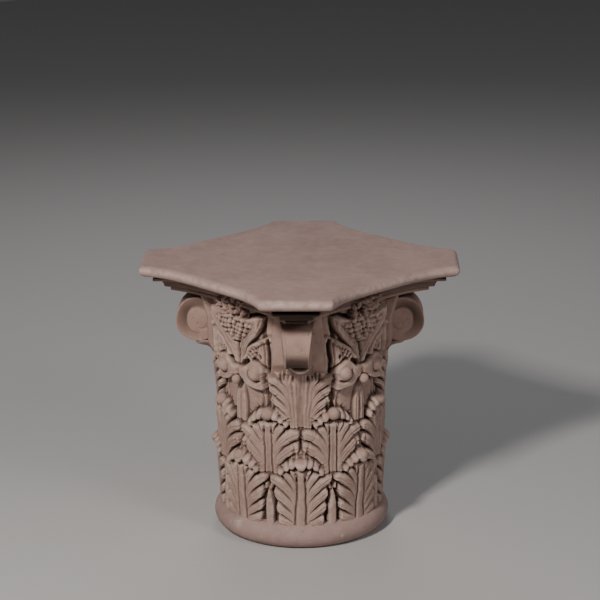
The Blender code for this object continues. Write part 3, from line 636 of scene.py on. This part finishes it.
def grid_faces(rows, columns, closed):
    """Four-sided faces of a grid of points, row after row, joined across its last column when closed."""
    low = np.arange(rows - 1)[:, None] * columns
    column = np.arange(columns if closed else columns - 1)[None, :]
    after = (column + 1) % columns
    faces = np.stack([low + column, low + after, low + columns + after, low + columns + column], -1)
    return faces.reshape(-1, 4).tolist()


def placed(name, data):
    """An object of this name and data, put into the scene."""
    made = bpy.data.objects.new(name, data)
    bpy.context.scene.collection.objects.link(made)
    return made


def make_piece(name, points, faces, material, hollow=None, wear_and_highlight=None, normals=None):
    """A smooth mesh piece of the capital from arrays of points and faces, with its values of painted shade
    and of wear and painted highlight.
    """
    mesh = bpy.data.meshes.new(name)
    mesh.from_pydata(points.reshape(-1, 3), [], faces)
    for label, values in (("hollow", hollow), ("wear_and_highlight", wear_and_highlight)):
        layer = mesh.attributes.new(label, "FLOAT", "POINT")
        if values is not None:
            layer.data.foreach_set("value", np.ascontiguousarray(values, dtype=np.float32).ravel())
    mesh.shade_smooth()
    if normals is not None:
        mesh.normals_split_custom_set_from_vertices(normals.reshape(-1, 3))
    mesh.materials.append(material)
    piece = placed(name, mesh)
    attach(piece, "root")
    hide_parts("capital")


def stacked(name, rings, material, hollow=None, wear_and_highlight=None, normals=None):
    """A closed body through rings of the same number of points, from the lowest up, with flat ends."""
    rows, columns = np.shape(rings)[:2]
    faces = grid_faces(rows, columns, True)
    faces.append(list(range(columns))[::-1])
    faces.append(list(range((rows - 1) * columns, rows * columns)))
    make_piece(name, np.array(rings), faces, material, hollow, wear_and_highlight, normals)


def spun(points, angle):
    """Points turned about the axis by this angle."""
    cosine, sine = math.cos(angle), math.sin(angle)
    x, y, z = points[..., 0], points[..., 1], points[..., 2]
    return np.stack([x * cosine - y * sine, x * sine + y * cosine, z], -1)


def patch(name, front, back, angle, material, hollow=None, wear_and_highlight=None):
    """A closed lump: a grid of front points whose edge runs back to one hidden point, turned in place."""
    rows, columns = front.shape[:2]
    points = spun(np.concatenate([front.reshape(-1, 3), [back]]), angle)
    index = np.arange(rows * columns).reshape(rows, columns)
    edge = np.concatenate([index[0], index[1:, -1], index[-1, -2::-1], index[-2:0:-1, 0]]).tolist()
    faces = grid_faces(rows, columns, False)
    faces += [[one, index.size, two] for one, two in zip(edge, edge[1:] + edge[:1])]
    hollow, wear_and_highlight = (None if marks is None else np.append(marks.ravel(), 0.0) for marks in (hollow, wear_and_highlight))
    make_piece(name, points, faces, material, hollow, wear_and_highlight)


def field_marks(field):
    """Painted shade where a field lies below its blurred self, and paler parts, partly wear and partly
    painted highlight, where it lies above.
    """
    wide, close = blurred(field, 5), blurred(field, 2)
    hollow = np.clip((wide - field) / 0.005, 0, 1) + 0.35 * np.clip((close - field) / 0.0015, 0, 1)
    wear_and_highlight = np.clip((field - wide) / 0.004, 0, 1) * 0.45 + np.clip((field - close) / 0.001, 0, 1) * 0.5
    return np.clip(hollow, 0, 1), np.clip(wear_and_highlight, 0, 1)


def make_bell(material):
    """Carves the bell and makes it in bands, each closed by flat ends inside the stone."""
    bell = Bell()
    for carve in (carve_bud, carve_fan, carve_husk, carve_helix, carve_corner, carve_upper, carve_lower):
        carve(bell)
    out = bell.out + 0.00022 * bell.noise(300, 0.003, 11)
    out = blurred(out, 1, 1) * 0.55 + out * 0.45
    out = np.maximum(out, DEEPEST)
    calm = ramp(BELL_LOW, BELL_LOW + 0.012, bell.height) * ramp(0.3, 0.285, bell.height)
    height = bell.height - CURL_OVER * (out - CURL_FROM) * calm
    turned = np.clip((STRAIGHT_ABOVE - bell.height) / (STRAIGHT_ABOVE - TURNED_BELOW), 0, 1)
    angle = bell.angle + LEAF_TURN * turned
    points = np.stack([out * np.cos(angle), out * np.sin(angle), height], -1)
    along = np.roll(points, -1, axis=1) - np.roll(points, 1, axis=1)
    normals = np.cross(along, np.gradient(points, axis=0))
    normals /= np.linalg.norm(normals, axis=-1, keepdims=True)
    marks = field_marks(out)
    starts = [int(round((low - BELL_LOW) / ROW_STEP)) for _, low in BANDS] + [len(points) - 1]
    for (name, _), first, last in zip(BANDS, starts, starts[1:]):
        rows = np.clip(np.arange(first - 1, last + 2), first, last)
        ring = points[rows]
        ring[[0, -1]] *= (0.5, 0.5, 1.0)
        stacked(name, ring, material, *(values[rows] for values in marks), normals[rows])


def level_ring(outline, height):
    """An outline as a ring of points at this height."""
    return np.concatenate([outline, np.full((len(outline), 1), height)], 1)


def half_turn(steps):
    """Angles from straight down over outwards to straight up."""
    return [-math.pi / 2 + math.pi * step / steps for step in range(steps + 1)]


def make_base_ring(material):
    """The half-round ring that the capital stands on."""
    angle = np.arange(RING_COLUMNS) * 2 * math.pi / RING_COLUMNS
    profile = [(RING_MIDDLE + RING_REACH * math.cos(swing), RING_HALF + RING_HALF * math.sin(swing))
               for swing in half_turn(RING_STEPS)]
    profile = [(RING_INSIDE, 0.0)] + profile + [(RING_INSIDE, 2 * RING_HALF)]
    circle = np.stack([np.cos(angle), np.sin(angle)], -1)
    stacked("base_ring", [level_ring(radius * circle, height) for radius, height in profile], material)


def side_outline(corner, chop, side):
    """Outline of a square with hollow sides and chopped corners, as points across.

    Along a side, its distance from the axis rises with the fourth power of the share of its half length. The
    chopped corner between two sides is straight.
    """
    end_out = (corner + chop) / math.sqrt(2)
    end_along = (corner - chop) / math.sqrt(2)
    share = np.linspace(-1, 1, SIDE_POINTS)
    share = np.sign(share) * (1 - (1 - np.abs(share)) ** 1.15)
    edge = np.stack([side + (end_out - side) * share ** 4, share * end_along], -1)
    chopped = np.linspace(edge[-1], np.array([end_along, end_out]), CHOP_POINTS + 2)[1:-1]
    quarters = [np.concatenate([edge, chopped])]
    for _ in range(3):
        quarters.append(np.stack([-quarters[-1][:, 1], quarters[-1][:, 0]], -1))
    return np.concatenate(quarters)


def softened(outline, rounds):
    """A closed outline, its corners rounded a little by averaging each point with its two neighbours."""
    for _ in range(rounds):
        outline = outline * 0.5 + (np.roll(outline, 1, axis=0) + np.roll(outline, -1, axis=0)) * 0.25
    return outline


def make_slab(material):
    """The top slab: hollow sides, chopped corners and a half-round edge, painted shade below, a paler band
    along its edge that is partly wear and partly painted highlight, and rubbed in front.
    """
    rings = []
    for swing in half_turn(SLAB_STEPS):
        inset = SLAB_HALF * (1 - math.cos(swing)) + SLAB_GAP
        outline = side_outline(SLAB_CORNER - inset, SLAB_CHOP - 0.414 * inset, SLAB_SIDE - inset)
        rings.append(level_ring(softened(outline, 3), TOP - SLAB_HALF + SLAB_HALF * math.sin(swing)))
    top = [rings[-1] * (share, share, 1.0) for share in SLAB_SHARES]
    rings = np.stack([rings[0] * (0.3, 0.3, 1.0)] + rings + top)
    steps = np.arange(len(rings))[:, None] + np.zeros(rings.shape[:2])
    # Painted shade on the underside; a paler band on the upper edge, partly wear and partly painted highlight
    stacked("top_slab", rings, material, ramp(7.0, 1.5, steps), 0.8 * hill(steps - 15.0, 4.0))


def make_moulding(material):
    """The stepped moulding under the slab, with painted shade in its recesses and under the slab's corners.
    """
    under_corners = np.tile(np.repeat((0.0, 1.0), (SIDE_POINTS, CHOP_POINTS)), 4)
    rings, marks = [], []
    for height, corner, chop, side, dark in MOULDING[::-1]:
        rings.append(level_ring(side_outline(corner, chop, side), height))
        # Painted shade: set by each row, and full under the slab's chopped corners
        marks.append(np.maximum(under_corners, dark))
    stacked("moulding", rings, material, np.array(marks))


def quarter_curve(values, turns):
    """A smooth value between the given quarter turns, by a cosine step from each to the next."""
    values = np.array(values)
    step = (turns * len(values)) % len(values)
    low = np.floor(step).astype(int)
    share = (1 - np.cos(math.pi * (step - low))) / 2
    return values[low % len(values)] * (1 - share) + values[(low + 1) % len(values)] * share


def flank_half(distance, height):
    """Half the width of a volute: it widens a little inwards and upwards."""
    return VOLUTE_HALF_WIDTH + 0.11 * (VOLUTE_FRONT - distance) + 0.09 * (height - VOLUTE_CENTRE[1])


def make_volutes(material):
    """The four corner volutes.

    Each flank has a raised rim, a sunk channel that is deepest over and before the eye, and a disc with a
    curved hook and a few pits. The ribbon between them is scooped. Painted shade lies in the channel and pits
    and where the ribbon turns in and faces down.
    """
    turns = (np.arange(VOLUTE_STEPS) / VOLUTE_STEPS)[:, None]
    swing = math.pi / 2 - 2 * math.pi * turns

    def place(radius):
        """Distance from the axis and height of what lies so far from the centre."""
        return VOLUTE_CENTRE[0] + radius * np.cos(swing), VOLUTE_CENTRE[1] + radius * np.sin(swing)

    outer, eye = quarter_curve(VOLUTE_TURN, turns), quarter_curve(VOLUTE_EYE, turns)
    depth = VOLUTE_DEPTH * (0.45 + 0.55 * np.cos(2 * math.pi * (turns - 0.15)))
    share = np.concatenate([np.linspace(0.02, 1, 14), 1 + np.linspace(0.04, 1, 22)])[None, :]
    channel = np.clip(share - 1, 0, 1)
    slope = np.sin(math.pi / 2 * np.clip((0.9 - channel) / 0.9, 0, 1)) ** 0.9
    sunk = np.where(share <= 1, 0.0, depth * slope * np.clip(channel / 0.12, 0, 1) ** 0.5)
    sunk -= 0.0008 * np.clip(1 - share, 0, 1) ** 0.7
    distance, height = place(np.where(share <= 1, eye * share, eye + (outer - eye) * (share - 1)))
    away = np.hypot(distance - HOOK_CENTRE[0], height - HOOK_CENTRE[1])
    hook = ramp(0.35, 0.342, height) * ramp(0.166, 0.158, distance)
    sunk += (0.0022 * hill(away - 0.0098, 0.0016) - 0.001 * hill(away - 0.013, 0.002)) * hook
    seeds = np.random.default_rng(21)
    for _ in range(3):
        spot = (VOLUTE_CENTRE[0] + seeds.uniform(-0.01, 0.012), 0.353 + seeds.uniform(-0.008, 0.01))
        away = np.hypot(distance - spot[0], height - spot[1])
        sunk += 0.0012 * hill(away, seeds.uniform(0.0007, 0.0014))
    flank = np.stack([distance, flank_half(distance, height) - sunk, height], -1)
    across = np.linspace(1, -1, 25)[None, :]
    edge = np.abs(across)
    scoop = 0.0028 * np.sqrt(np.clip(1 - edge ** 2.2, 0, 1)) - 0.0004 * hill(edge - 0.93, 0.05)
    distance, height = (values[:, 1:-1] for values in place(outer - scoop))
    rim = flank_half(*place(outer)) - 0.0004
    ribbon = np.stack([distance, rim * across[:, 1:-1], height], -1)
    points = np.concatenate([flank, ribbon, flank[:, ::-1] * (1, -1, 1)], 1)
    # Painted shade in the sunk channel and pits, and on the ribbon where it turns in and faces down
    dark = np.clip(sunk / 0.0085, 0, 1)
    turned_in = 0.95 * (ramp(0.354, 0.337, height) * ramp(0.165, 0.172, distance))
    marks = np.concatenate([dark, turned_in, dark[:, ::-1]], 1)
    rows, columns = marks.shape
    last = (rows - 1) * columns
    faces = grid_faces(rows, columns, False)
    faces += [[last + low, last + low + 1, low + 1, low] for low in range(columns - 1)]
    faces.append([row * columns for row in range(rows)][::-1])
    faces.append([row * columns + columns - 1 for row in range(rows)])
    for number, angle in enumerate(CORNERS, 1):
        make_piece(f"volute_{number}", spun(points, angle), faces, material, marks)


def make_curls(material):
    """The curled tips of the corner leaves, fluted below and dished on top, under the volutes.

    A line over foot, nose and inner end is swept across, bowed back with the square of the way across.
    """
    steps = np.linspace(0, len(CURL) - 1, 60)
    height, half, out = (np.interp(steps, np.arange(len(CURL)), column) for column in zip(*CURL))
    height, half, out = averaged(height, 4)[:, None], half[:, None], averaged(out, 4)[:, None]
    inner = (steps > CURL_INSIDE)[:, None]
    across = np.linspace(-1, 1, 61)[None, :]
    flutes = 0.0016 * (ridges(across * 2.5 + 0.5) - 0.7) * ramp(0.305, 0.294, height)
    bow = 0.003 * across ** 2 + 0.002 * ramp(0.85, 1.0, np.abs(across))
    reach = out + flutes - bow * (out - 0.13) / 0.04
    arc = across * half / reach
    lifted = 0.01 * across ** 2 * ramp(0.299, 0.3065, height) * ramp(0.3185, 0.311, height)
    dished = 0.002 * (1 - across ** 2) * ramp(0.16, 0.154, out) * inner
    front = np.stack([reach * np.cos(arc), reach * np.sin(arc), height + lifted - dished], -1)
    # Painted shade under the nose and where the volute shades the tip, and a painted highlight along the top
    # of its nose
    below = ramp(0.3066, 0.305, height) * ramp(0.287, 0.299, height) * (0.6 + 0.4 * across ** 2)
    marks = np.maximum(0.55 * below, 0.95 * inner)
    wear_and_highlight = 0.9 * ramp(0.306, 0.309, height) * ramp(0.152, 0.16, out) + np.zeros(reach.shape)
    for number, angle in enumerate(CORNERS, 1):
        patch(f"leaf_tip_{number}", front, (0.05, 0.0, 0.29), angle + LEAF_TURN, material, marks, wear_and_highlight)


def make_piers(material):
    """The blocks behind the volutes, bulged by a quarter circle, which carry them down to the leaves."""
    heights, distances, halves = zip(*PIER)
    height = np.linspace(heights[0], heights[-1], 60)[:, None]
    across = np.linspace(-1, 1, 41)[None, :]
    reach = np.interp(height, heights, distances) + 0.008 * dome(across) * ramp(0.304, 0.322, height)
    half = np.interp(height, heights, halves)
    front = np.stack([reach, half * across, np.broadcast_to(height, reach.shape)], -1)
    for number, angle in enumerate(CORNERS, 1):
        patch(f"scroll_block_{number}", front, (0.09, 0.0, 0.35), angle, material)


def make_balls(name, spots, distance, radius, material):
    """Smooth round knobs, half sunk in the carving: spheres at these angles and heights.

    Their radius varies by a fortieth with a sine of the place on them, each knob in its own way.
    """
    swing = (np.arange(1, BALL_RINGS + 1) / (BALL_RINGS + 1) * math.pi)[:, None]
    turn = (np.arange(BALL_SIDES) * 2 * math.pi / BALL_SIDES)[None, :]
    unit = np.broadcast_arrays(np.sin(swing) * np.cos(turn), np.sin(swing) * np.sin(turn), -np.cos(swing))
    unit = np.concatenate([np.stack(unit, -1).reshape(-1, 3), [[0, 0, -1], [0, 0, 1]]])
    last = (BALL_RINGS - 1) * BALL_SIDES
    around = [(step, (step + 1) % BALL_SIDES) for step in range(BALL_SIDES)]
    sides = grid_faces(BALL_RINGS, BALL_SIDES, True)
    sides += [[after, step, len(unit) - 2] for step, after in around]
    sides += [[last + step, last + after, len(unit) - 1] for step, after in around]
    points, faces = [], []
    for index, (angle, height) in enumerate(spots):
        lumps = 1 + 0.025 * np.sin(unit @ np.array([2.1, 1.7, 2.6]) * 1.6 + index)
        faces += [[corner + len(unit) * index for corner in side] for side in sides]
        points.append(spun(unit * radius * lumps[:, None] + (distance, 0, height), angle))
    make_piece(name, np.concatenate(points), faces, material, wear_and_highlight=np.full(len(unit) * len(spots), 0.35))


def make_knobs(material):
    """The round knobs on the leaves, the bosses of the scrolls and the drops below their bridges."""
    quarter = math.pi / 2
    eighths = [LEAF_TURN + quarter / 4 + step * quarter / 2 for step in range(8)]
    middles = [LEAF_TURN + step * quarter for step in range(4)]
    swing = BOSS[0] / HELIX_RADIUS
    bosses = [(angle + way * swing, BOSS[1]) for angle in middles for way in (-1, 1)]
    make_balls("upper_knobs", [(angle, UPPER_KNOB) for angle in eighths], 0.1385, 0.0102, material)
    make_balls("lower_knobs", [(angle, LOWER_KNOB - 0.0015) for angle in middles], 0.14, 0.0098, material)
    make_balls("bosses", bosses, 0.1398, BOSS[2], material)
    make_balls("drops", [(angle, DROP[0]) for angle in middles], 0.144, DROP[1], material)


def make_rosettes(material):
    """The knots of small leaves over the middle of each side of the moulding, drilled here and there.

    Each leaflet is an oval dome, longer than wide and grooved along its middle, and the highest one shows.
    """
    across, up = np.meshgrid(np.linspace(-0.034, 0.034, 96), np.linspace(0.3835, 0.4222, 60))
    seeds = np.random.default_rng(5)
    for side in range(4):
        field = np.full(across.shape, 0.144)
        for _ in range(ROSETTE_LEAFLETS):
            spot = (seeds.uniform(-0.029, 0.031), seeds.uniform(0.388, 0.4185))
            size = seeds.uniform(0.003, 0.0068)
            lean = seeds.uniform(0, math.pi)
            right, top = across - spot[0], up - spot[1]
            along = (right * math.cos(lean) + top * math.sin(lean)) / (size * 1.25)
            cross = (-right * math.sin(lean) + top * math.cos(lean)) / (size * 0.62)
            crest = seeds.uniform(0.1525, 0.16) + (spot[1] - 0.403) * 0.1
            share = np.hypot(along, cross)
            leafy = 0.1475 + (crest - 0.1475) * dome(share) - 0.0012 * hill(cross, 0.22) * (share < 0.9)
            field = np.where(share < 1, np.maximum(field, leafy), field)
        for _ in range(ROSETTE_HOLES):
            spot = (seeds.uniform(-0.027, 0.029), seeds.uniform(0.388, 0.416))
            size = seeds.uniform(0.0013, 0.0024)
            field -= 0.01 * hill(np.hypot(across - spot[0], up - spot[1]), size)
        ragged = 0.003 * np.sin(across * 420 + side) + 0.0015 * np.sin(up * 900)
        edge = np.minimum(ROSETTE_HIGH + ragged * 0.6 - up, up - ROSETTE_LOW)
        edge = np.minimum(ROSETTE_HALF + ragged - np.abs(across), edge)
        field = np.maximum(field, 0.141)
        field = ROSETTE_GROUND + (field - ROSETTE_GROUND) * ramp(-0.0005, 0.0022, edge)
        # Painted shade, deeper where the field lies further back
        marks = np.clip((0.153 - field) / 0.009, 0, 1)
        front = np.stack([field, across * field / 0.155, up], -1)
        patch(f"rosette_{side + 1}", front, (0.1, 0, 0.403), side * math.pi / 2, material, marks)


class Value:
    """A shader socket that adds, subtracts and multiplies like a number."""

    def __init__(self, tree, socket):
        self.tree, self.socket = tree, socket

    def node(self, kind, inputs=(), output=0, **settings):
        """Adds a node, sets it up, links or sets its inputs by name or number, and gives its output."""
        made = self.tree.nodes.new(kind)
        for key, value in settings.items():
            setattr(made, key, value)
        for key, value in dict(inputs).items():
            if isinstance(value, Value):
                self.tree.links.new(value.socket, made.inputs[key])
            else:
                made.inputs[key].default_value = value
        return Value(self.tree, made.outputs[output])

    def math(self, kind, other):
        """A maths node of this value and another."""
        return self.node("ShaderNodeMath", {0: self, 1: other}, operation=kind)

    def __add__(self, other):
        return self.math("ADD", other)

    def __sub__(self, other):
        return self.math("SUBTRACT", other)

    def __mul__(self, other):
        return self.math("MULTIPLY", other)

    def __rsub__(self, other):
        return self.node("ShaderNodeMath", {0: other, 1: self}, operation="SUBTRACT")

    __radd__ = __add__
    __rmul__ = __mul__

    def between(self, low, high):
        """A smooth step from 0 at low to 1 at high."""
        return self.node("ShaderNodeMapRange", {0: self, 1: low, 2: high}, interpolation_type="SMOOTHSTEP")

    def blend(self, low, high):
        """A colour between two colours by this value."""
        return self.node("ShaderNodeMix", {0: self, 6: low, 7: high}, 2, data_type="RGBA")


def stone(name, light, dark, pale, scuffs=()):
    """Matt sandy cast stone.

    Two clouds of noise mix its dark and its light tone. Pale specks, paler raised parts and edges (partly
    wear, partly painted highlight) and scuffs lie over them, then painted shade in its hollows and under
    overhangs, with a few faint patches of dirt, and pinholes. Its relief is the sum of three noises less the
    pinholes.
    """
    material = bpy.data.materials.new(name)
    material.use_nodes = True
    tree = material.node_tree
    shader = tree.nodes["Principled BSDF"]
    place = Value(tree, tree.nodes.new("ShaderNodeTexCoord").outputs["Object"])

    def cloud(scale, detail=3.0):
        """Soft noise with so many clouds to a metre."""
        return place.node("ShaderNodeTexNoise", {"Vector": place, "Scale": scale, "Detail": detail,
                                                 "Roughness": 0.55})

    def speck(scale, size):
        """Round spots of this size in cells of so many to a metre."""
        away = place.node("ShaderNodeTexVoronoi", {"Vector": place, "Scale": scale})
        return 1 - away.between(size * 0.5, size)

    # hollow carries painted shade; the second attribute carries paler raised parts and edges, partly wear and
    # partly painted highlight
    hollow = place.node("ShaderNodeAttribute", output=2, attribute_name="hollow")
    wear_and_highlight = place.node("ShaderNodeAttribute", output=2, attribute_name="wear_and_highlight")
    mottle = cloud(14.0).between(0.32, 0.68) * 0.55 + cloud(70.0).between(0.3, 0.7) * 0.45
    colour = mottle.blend(dark, light)
    flecks = speck(210.0, 0.2) * cloud(60.0).between(0.46, 0.6)
    colour = (flecks * 0.55).blend(colour, pale)
    # Paler raised parts and edges: partly wear, partly painted highlight
    colour = (wear_and_highlight * cloud(90.0).between(0.25, 0.65) * 0.6).blend(colour, pale)
    for spot, reach in scuffs:
        away = place.node("ShaderNodeVectorMath", {0: place, 1: spot}, 1, operation="DISTANCE")
        rubbed = (1 - away.between(reach * 0.2, reach)) * cloud(420.0).between(0.3, 0.75)
        colour = (rubbed * 0.5).blend(colour, RUBBED)
    # Painted shade in hollows and under overhangs, with a few faint patches of dirt
    shade_and_dirt = (hollow * 0.95 + cloud(30.0).between(0.55, 0.8) * 0.08).math("MINIMUM", 0.95)
    colour = shade_and_dirt.blend(colour, SHADE_AND_DIRT)
    holes = speck(150.0, 0.16) * cloud(45.0).between(0.56, 0.62)
    colour = (holes * 0.6).blend(colour, PINHOLE)
    tree.links.new(colour.socket, shader.inputs["Base Color"])
    tree.links.new((0.93 - wear_and_highlight * 0.12 - mottle * 0.05).socket, shader.inputs["Roughness"])
    shader.inputs["Specular IOR Level"].default_value = 0.28
    sand = cloud(900.0, 2.0) * 0.00045 + cloud(260.0) * 0.0005 + cloud(60.0) * 0.0003
    relief = sand - holes * 0.0016
    bump = place.node("ShaderNodeBump", {"Strength": 0.85, "Distance": 1.0, "Height": relief})
    tree.links.new(bump.socket, shader.inputs["Normal"])
    return material


def make_stage():
    """A plain pale floor and soft studio light from the left front, with a weaker fill from the right."""
    mesh = bpy.data.meshes.new("floor")
    ends = (-FLOOR_HALF, FLOOR_HALF)
    mesh.from_pydata([(x, y, 0) for y in ends for x in ends], [], [(0, 1, 3, 2)])
    material = bpy.data.materials.new("floor_paint")
    material.use_nodes = True
    shader = material.node_tree.nodes["Principled BSDF"]
    shader.inputs["Base Color"].default_value = FLOOR
    shader.inputs["Roughness"].default_value = 0.9
    mesh.materials.append(material)
    floor = placed("floor", mesh)
    world = bpy.data.worlds.new("studio")
    world.use_nodes = True
    background = world.node_tree.nodes["Background"]
    background.inputs[0].default_value = AMBIENT
    background.inputs[1].default_value = AMBIENT_STRENGTH
    bpy.context.scene.world = world
    for name, place, size, power, tint in LIGHTS:
        light = bpy.data.lights.new(name, "AREA")
        light.size, light.energy, light.color = size, power, tint
        lamp = placed(name, light)
        lamp.location = place
        lamp.rotation_euler = (LOOKED_AT - Vector(place)).to_track_quat("-Z", "Y").to_euler()


def make_camera():
    """A camera at the photograph's viewing angle."""
    data = bpy.data.cameras.new("camera")
    data.sensor_width = SENSOR_MM
    data.lens = FOCAL_PX / FRAME_PX * SENSOR_MM
    camera = placed("camera", data)
    camera.rotation_euler = (math.pi / 2 - CAMERA_PITCH, 0.0, CAMERA_TURN)
    camera.rotation_euler.rotate_axis("Z", CAMERA_ROLL)
    camera.location = (math.sin(CAMERA_TURN) * CAMERA_DISTANCE, -math.cos(CAMERA_TURN) * CAMERA_DISTANCE,
                       CAMERA_HEIGHT)
    bpy.context.scene.camera = camera


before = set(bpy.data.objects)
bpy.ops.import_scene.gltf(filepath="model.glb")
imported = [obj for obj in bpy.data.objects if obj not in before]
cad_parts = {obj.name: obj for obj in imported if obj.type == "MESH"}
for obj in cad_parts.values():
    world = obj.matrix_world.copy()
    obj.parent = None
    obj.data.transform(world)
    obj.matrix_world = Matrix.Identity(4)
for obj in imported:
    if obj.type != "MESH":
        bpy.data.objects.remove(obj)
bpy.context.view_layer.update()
carved = stone("carved_stone", *CARVED)
smooth = stone("slab_stone", *SMOOTH, SCUFFS)
make_bell(carved)
make_base_ring(smooth)
make_slab(smooth)
make_moulding(carved)
make_volutes(carved)
make_curls(carved)
make_piers(carved)
make_knobs(carved)
make_rosettes(carved)
make_stage()
make_camera()
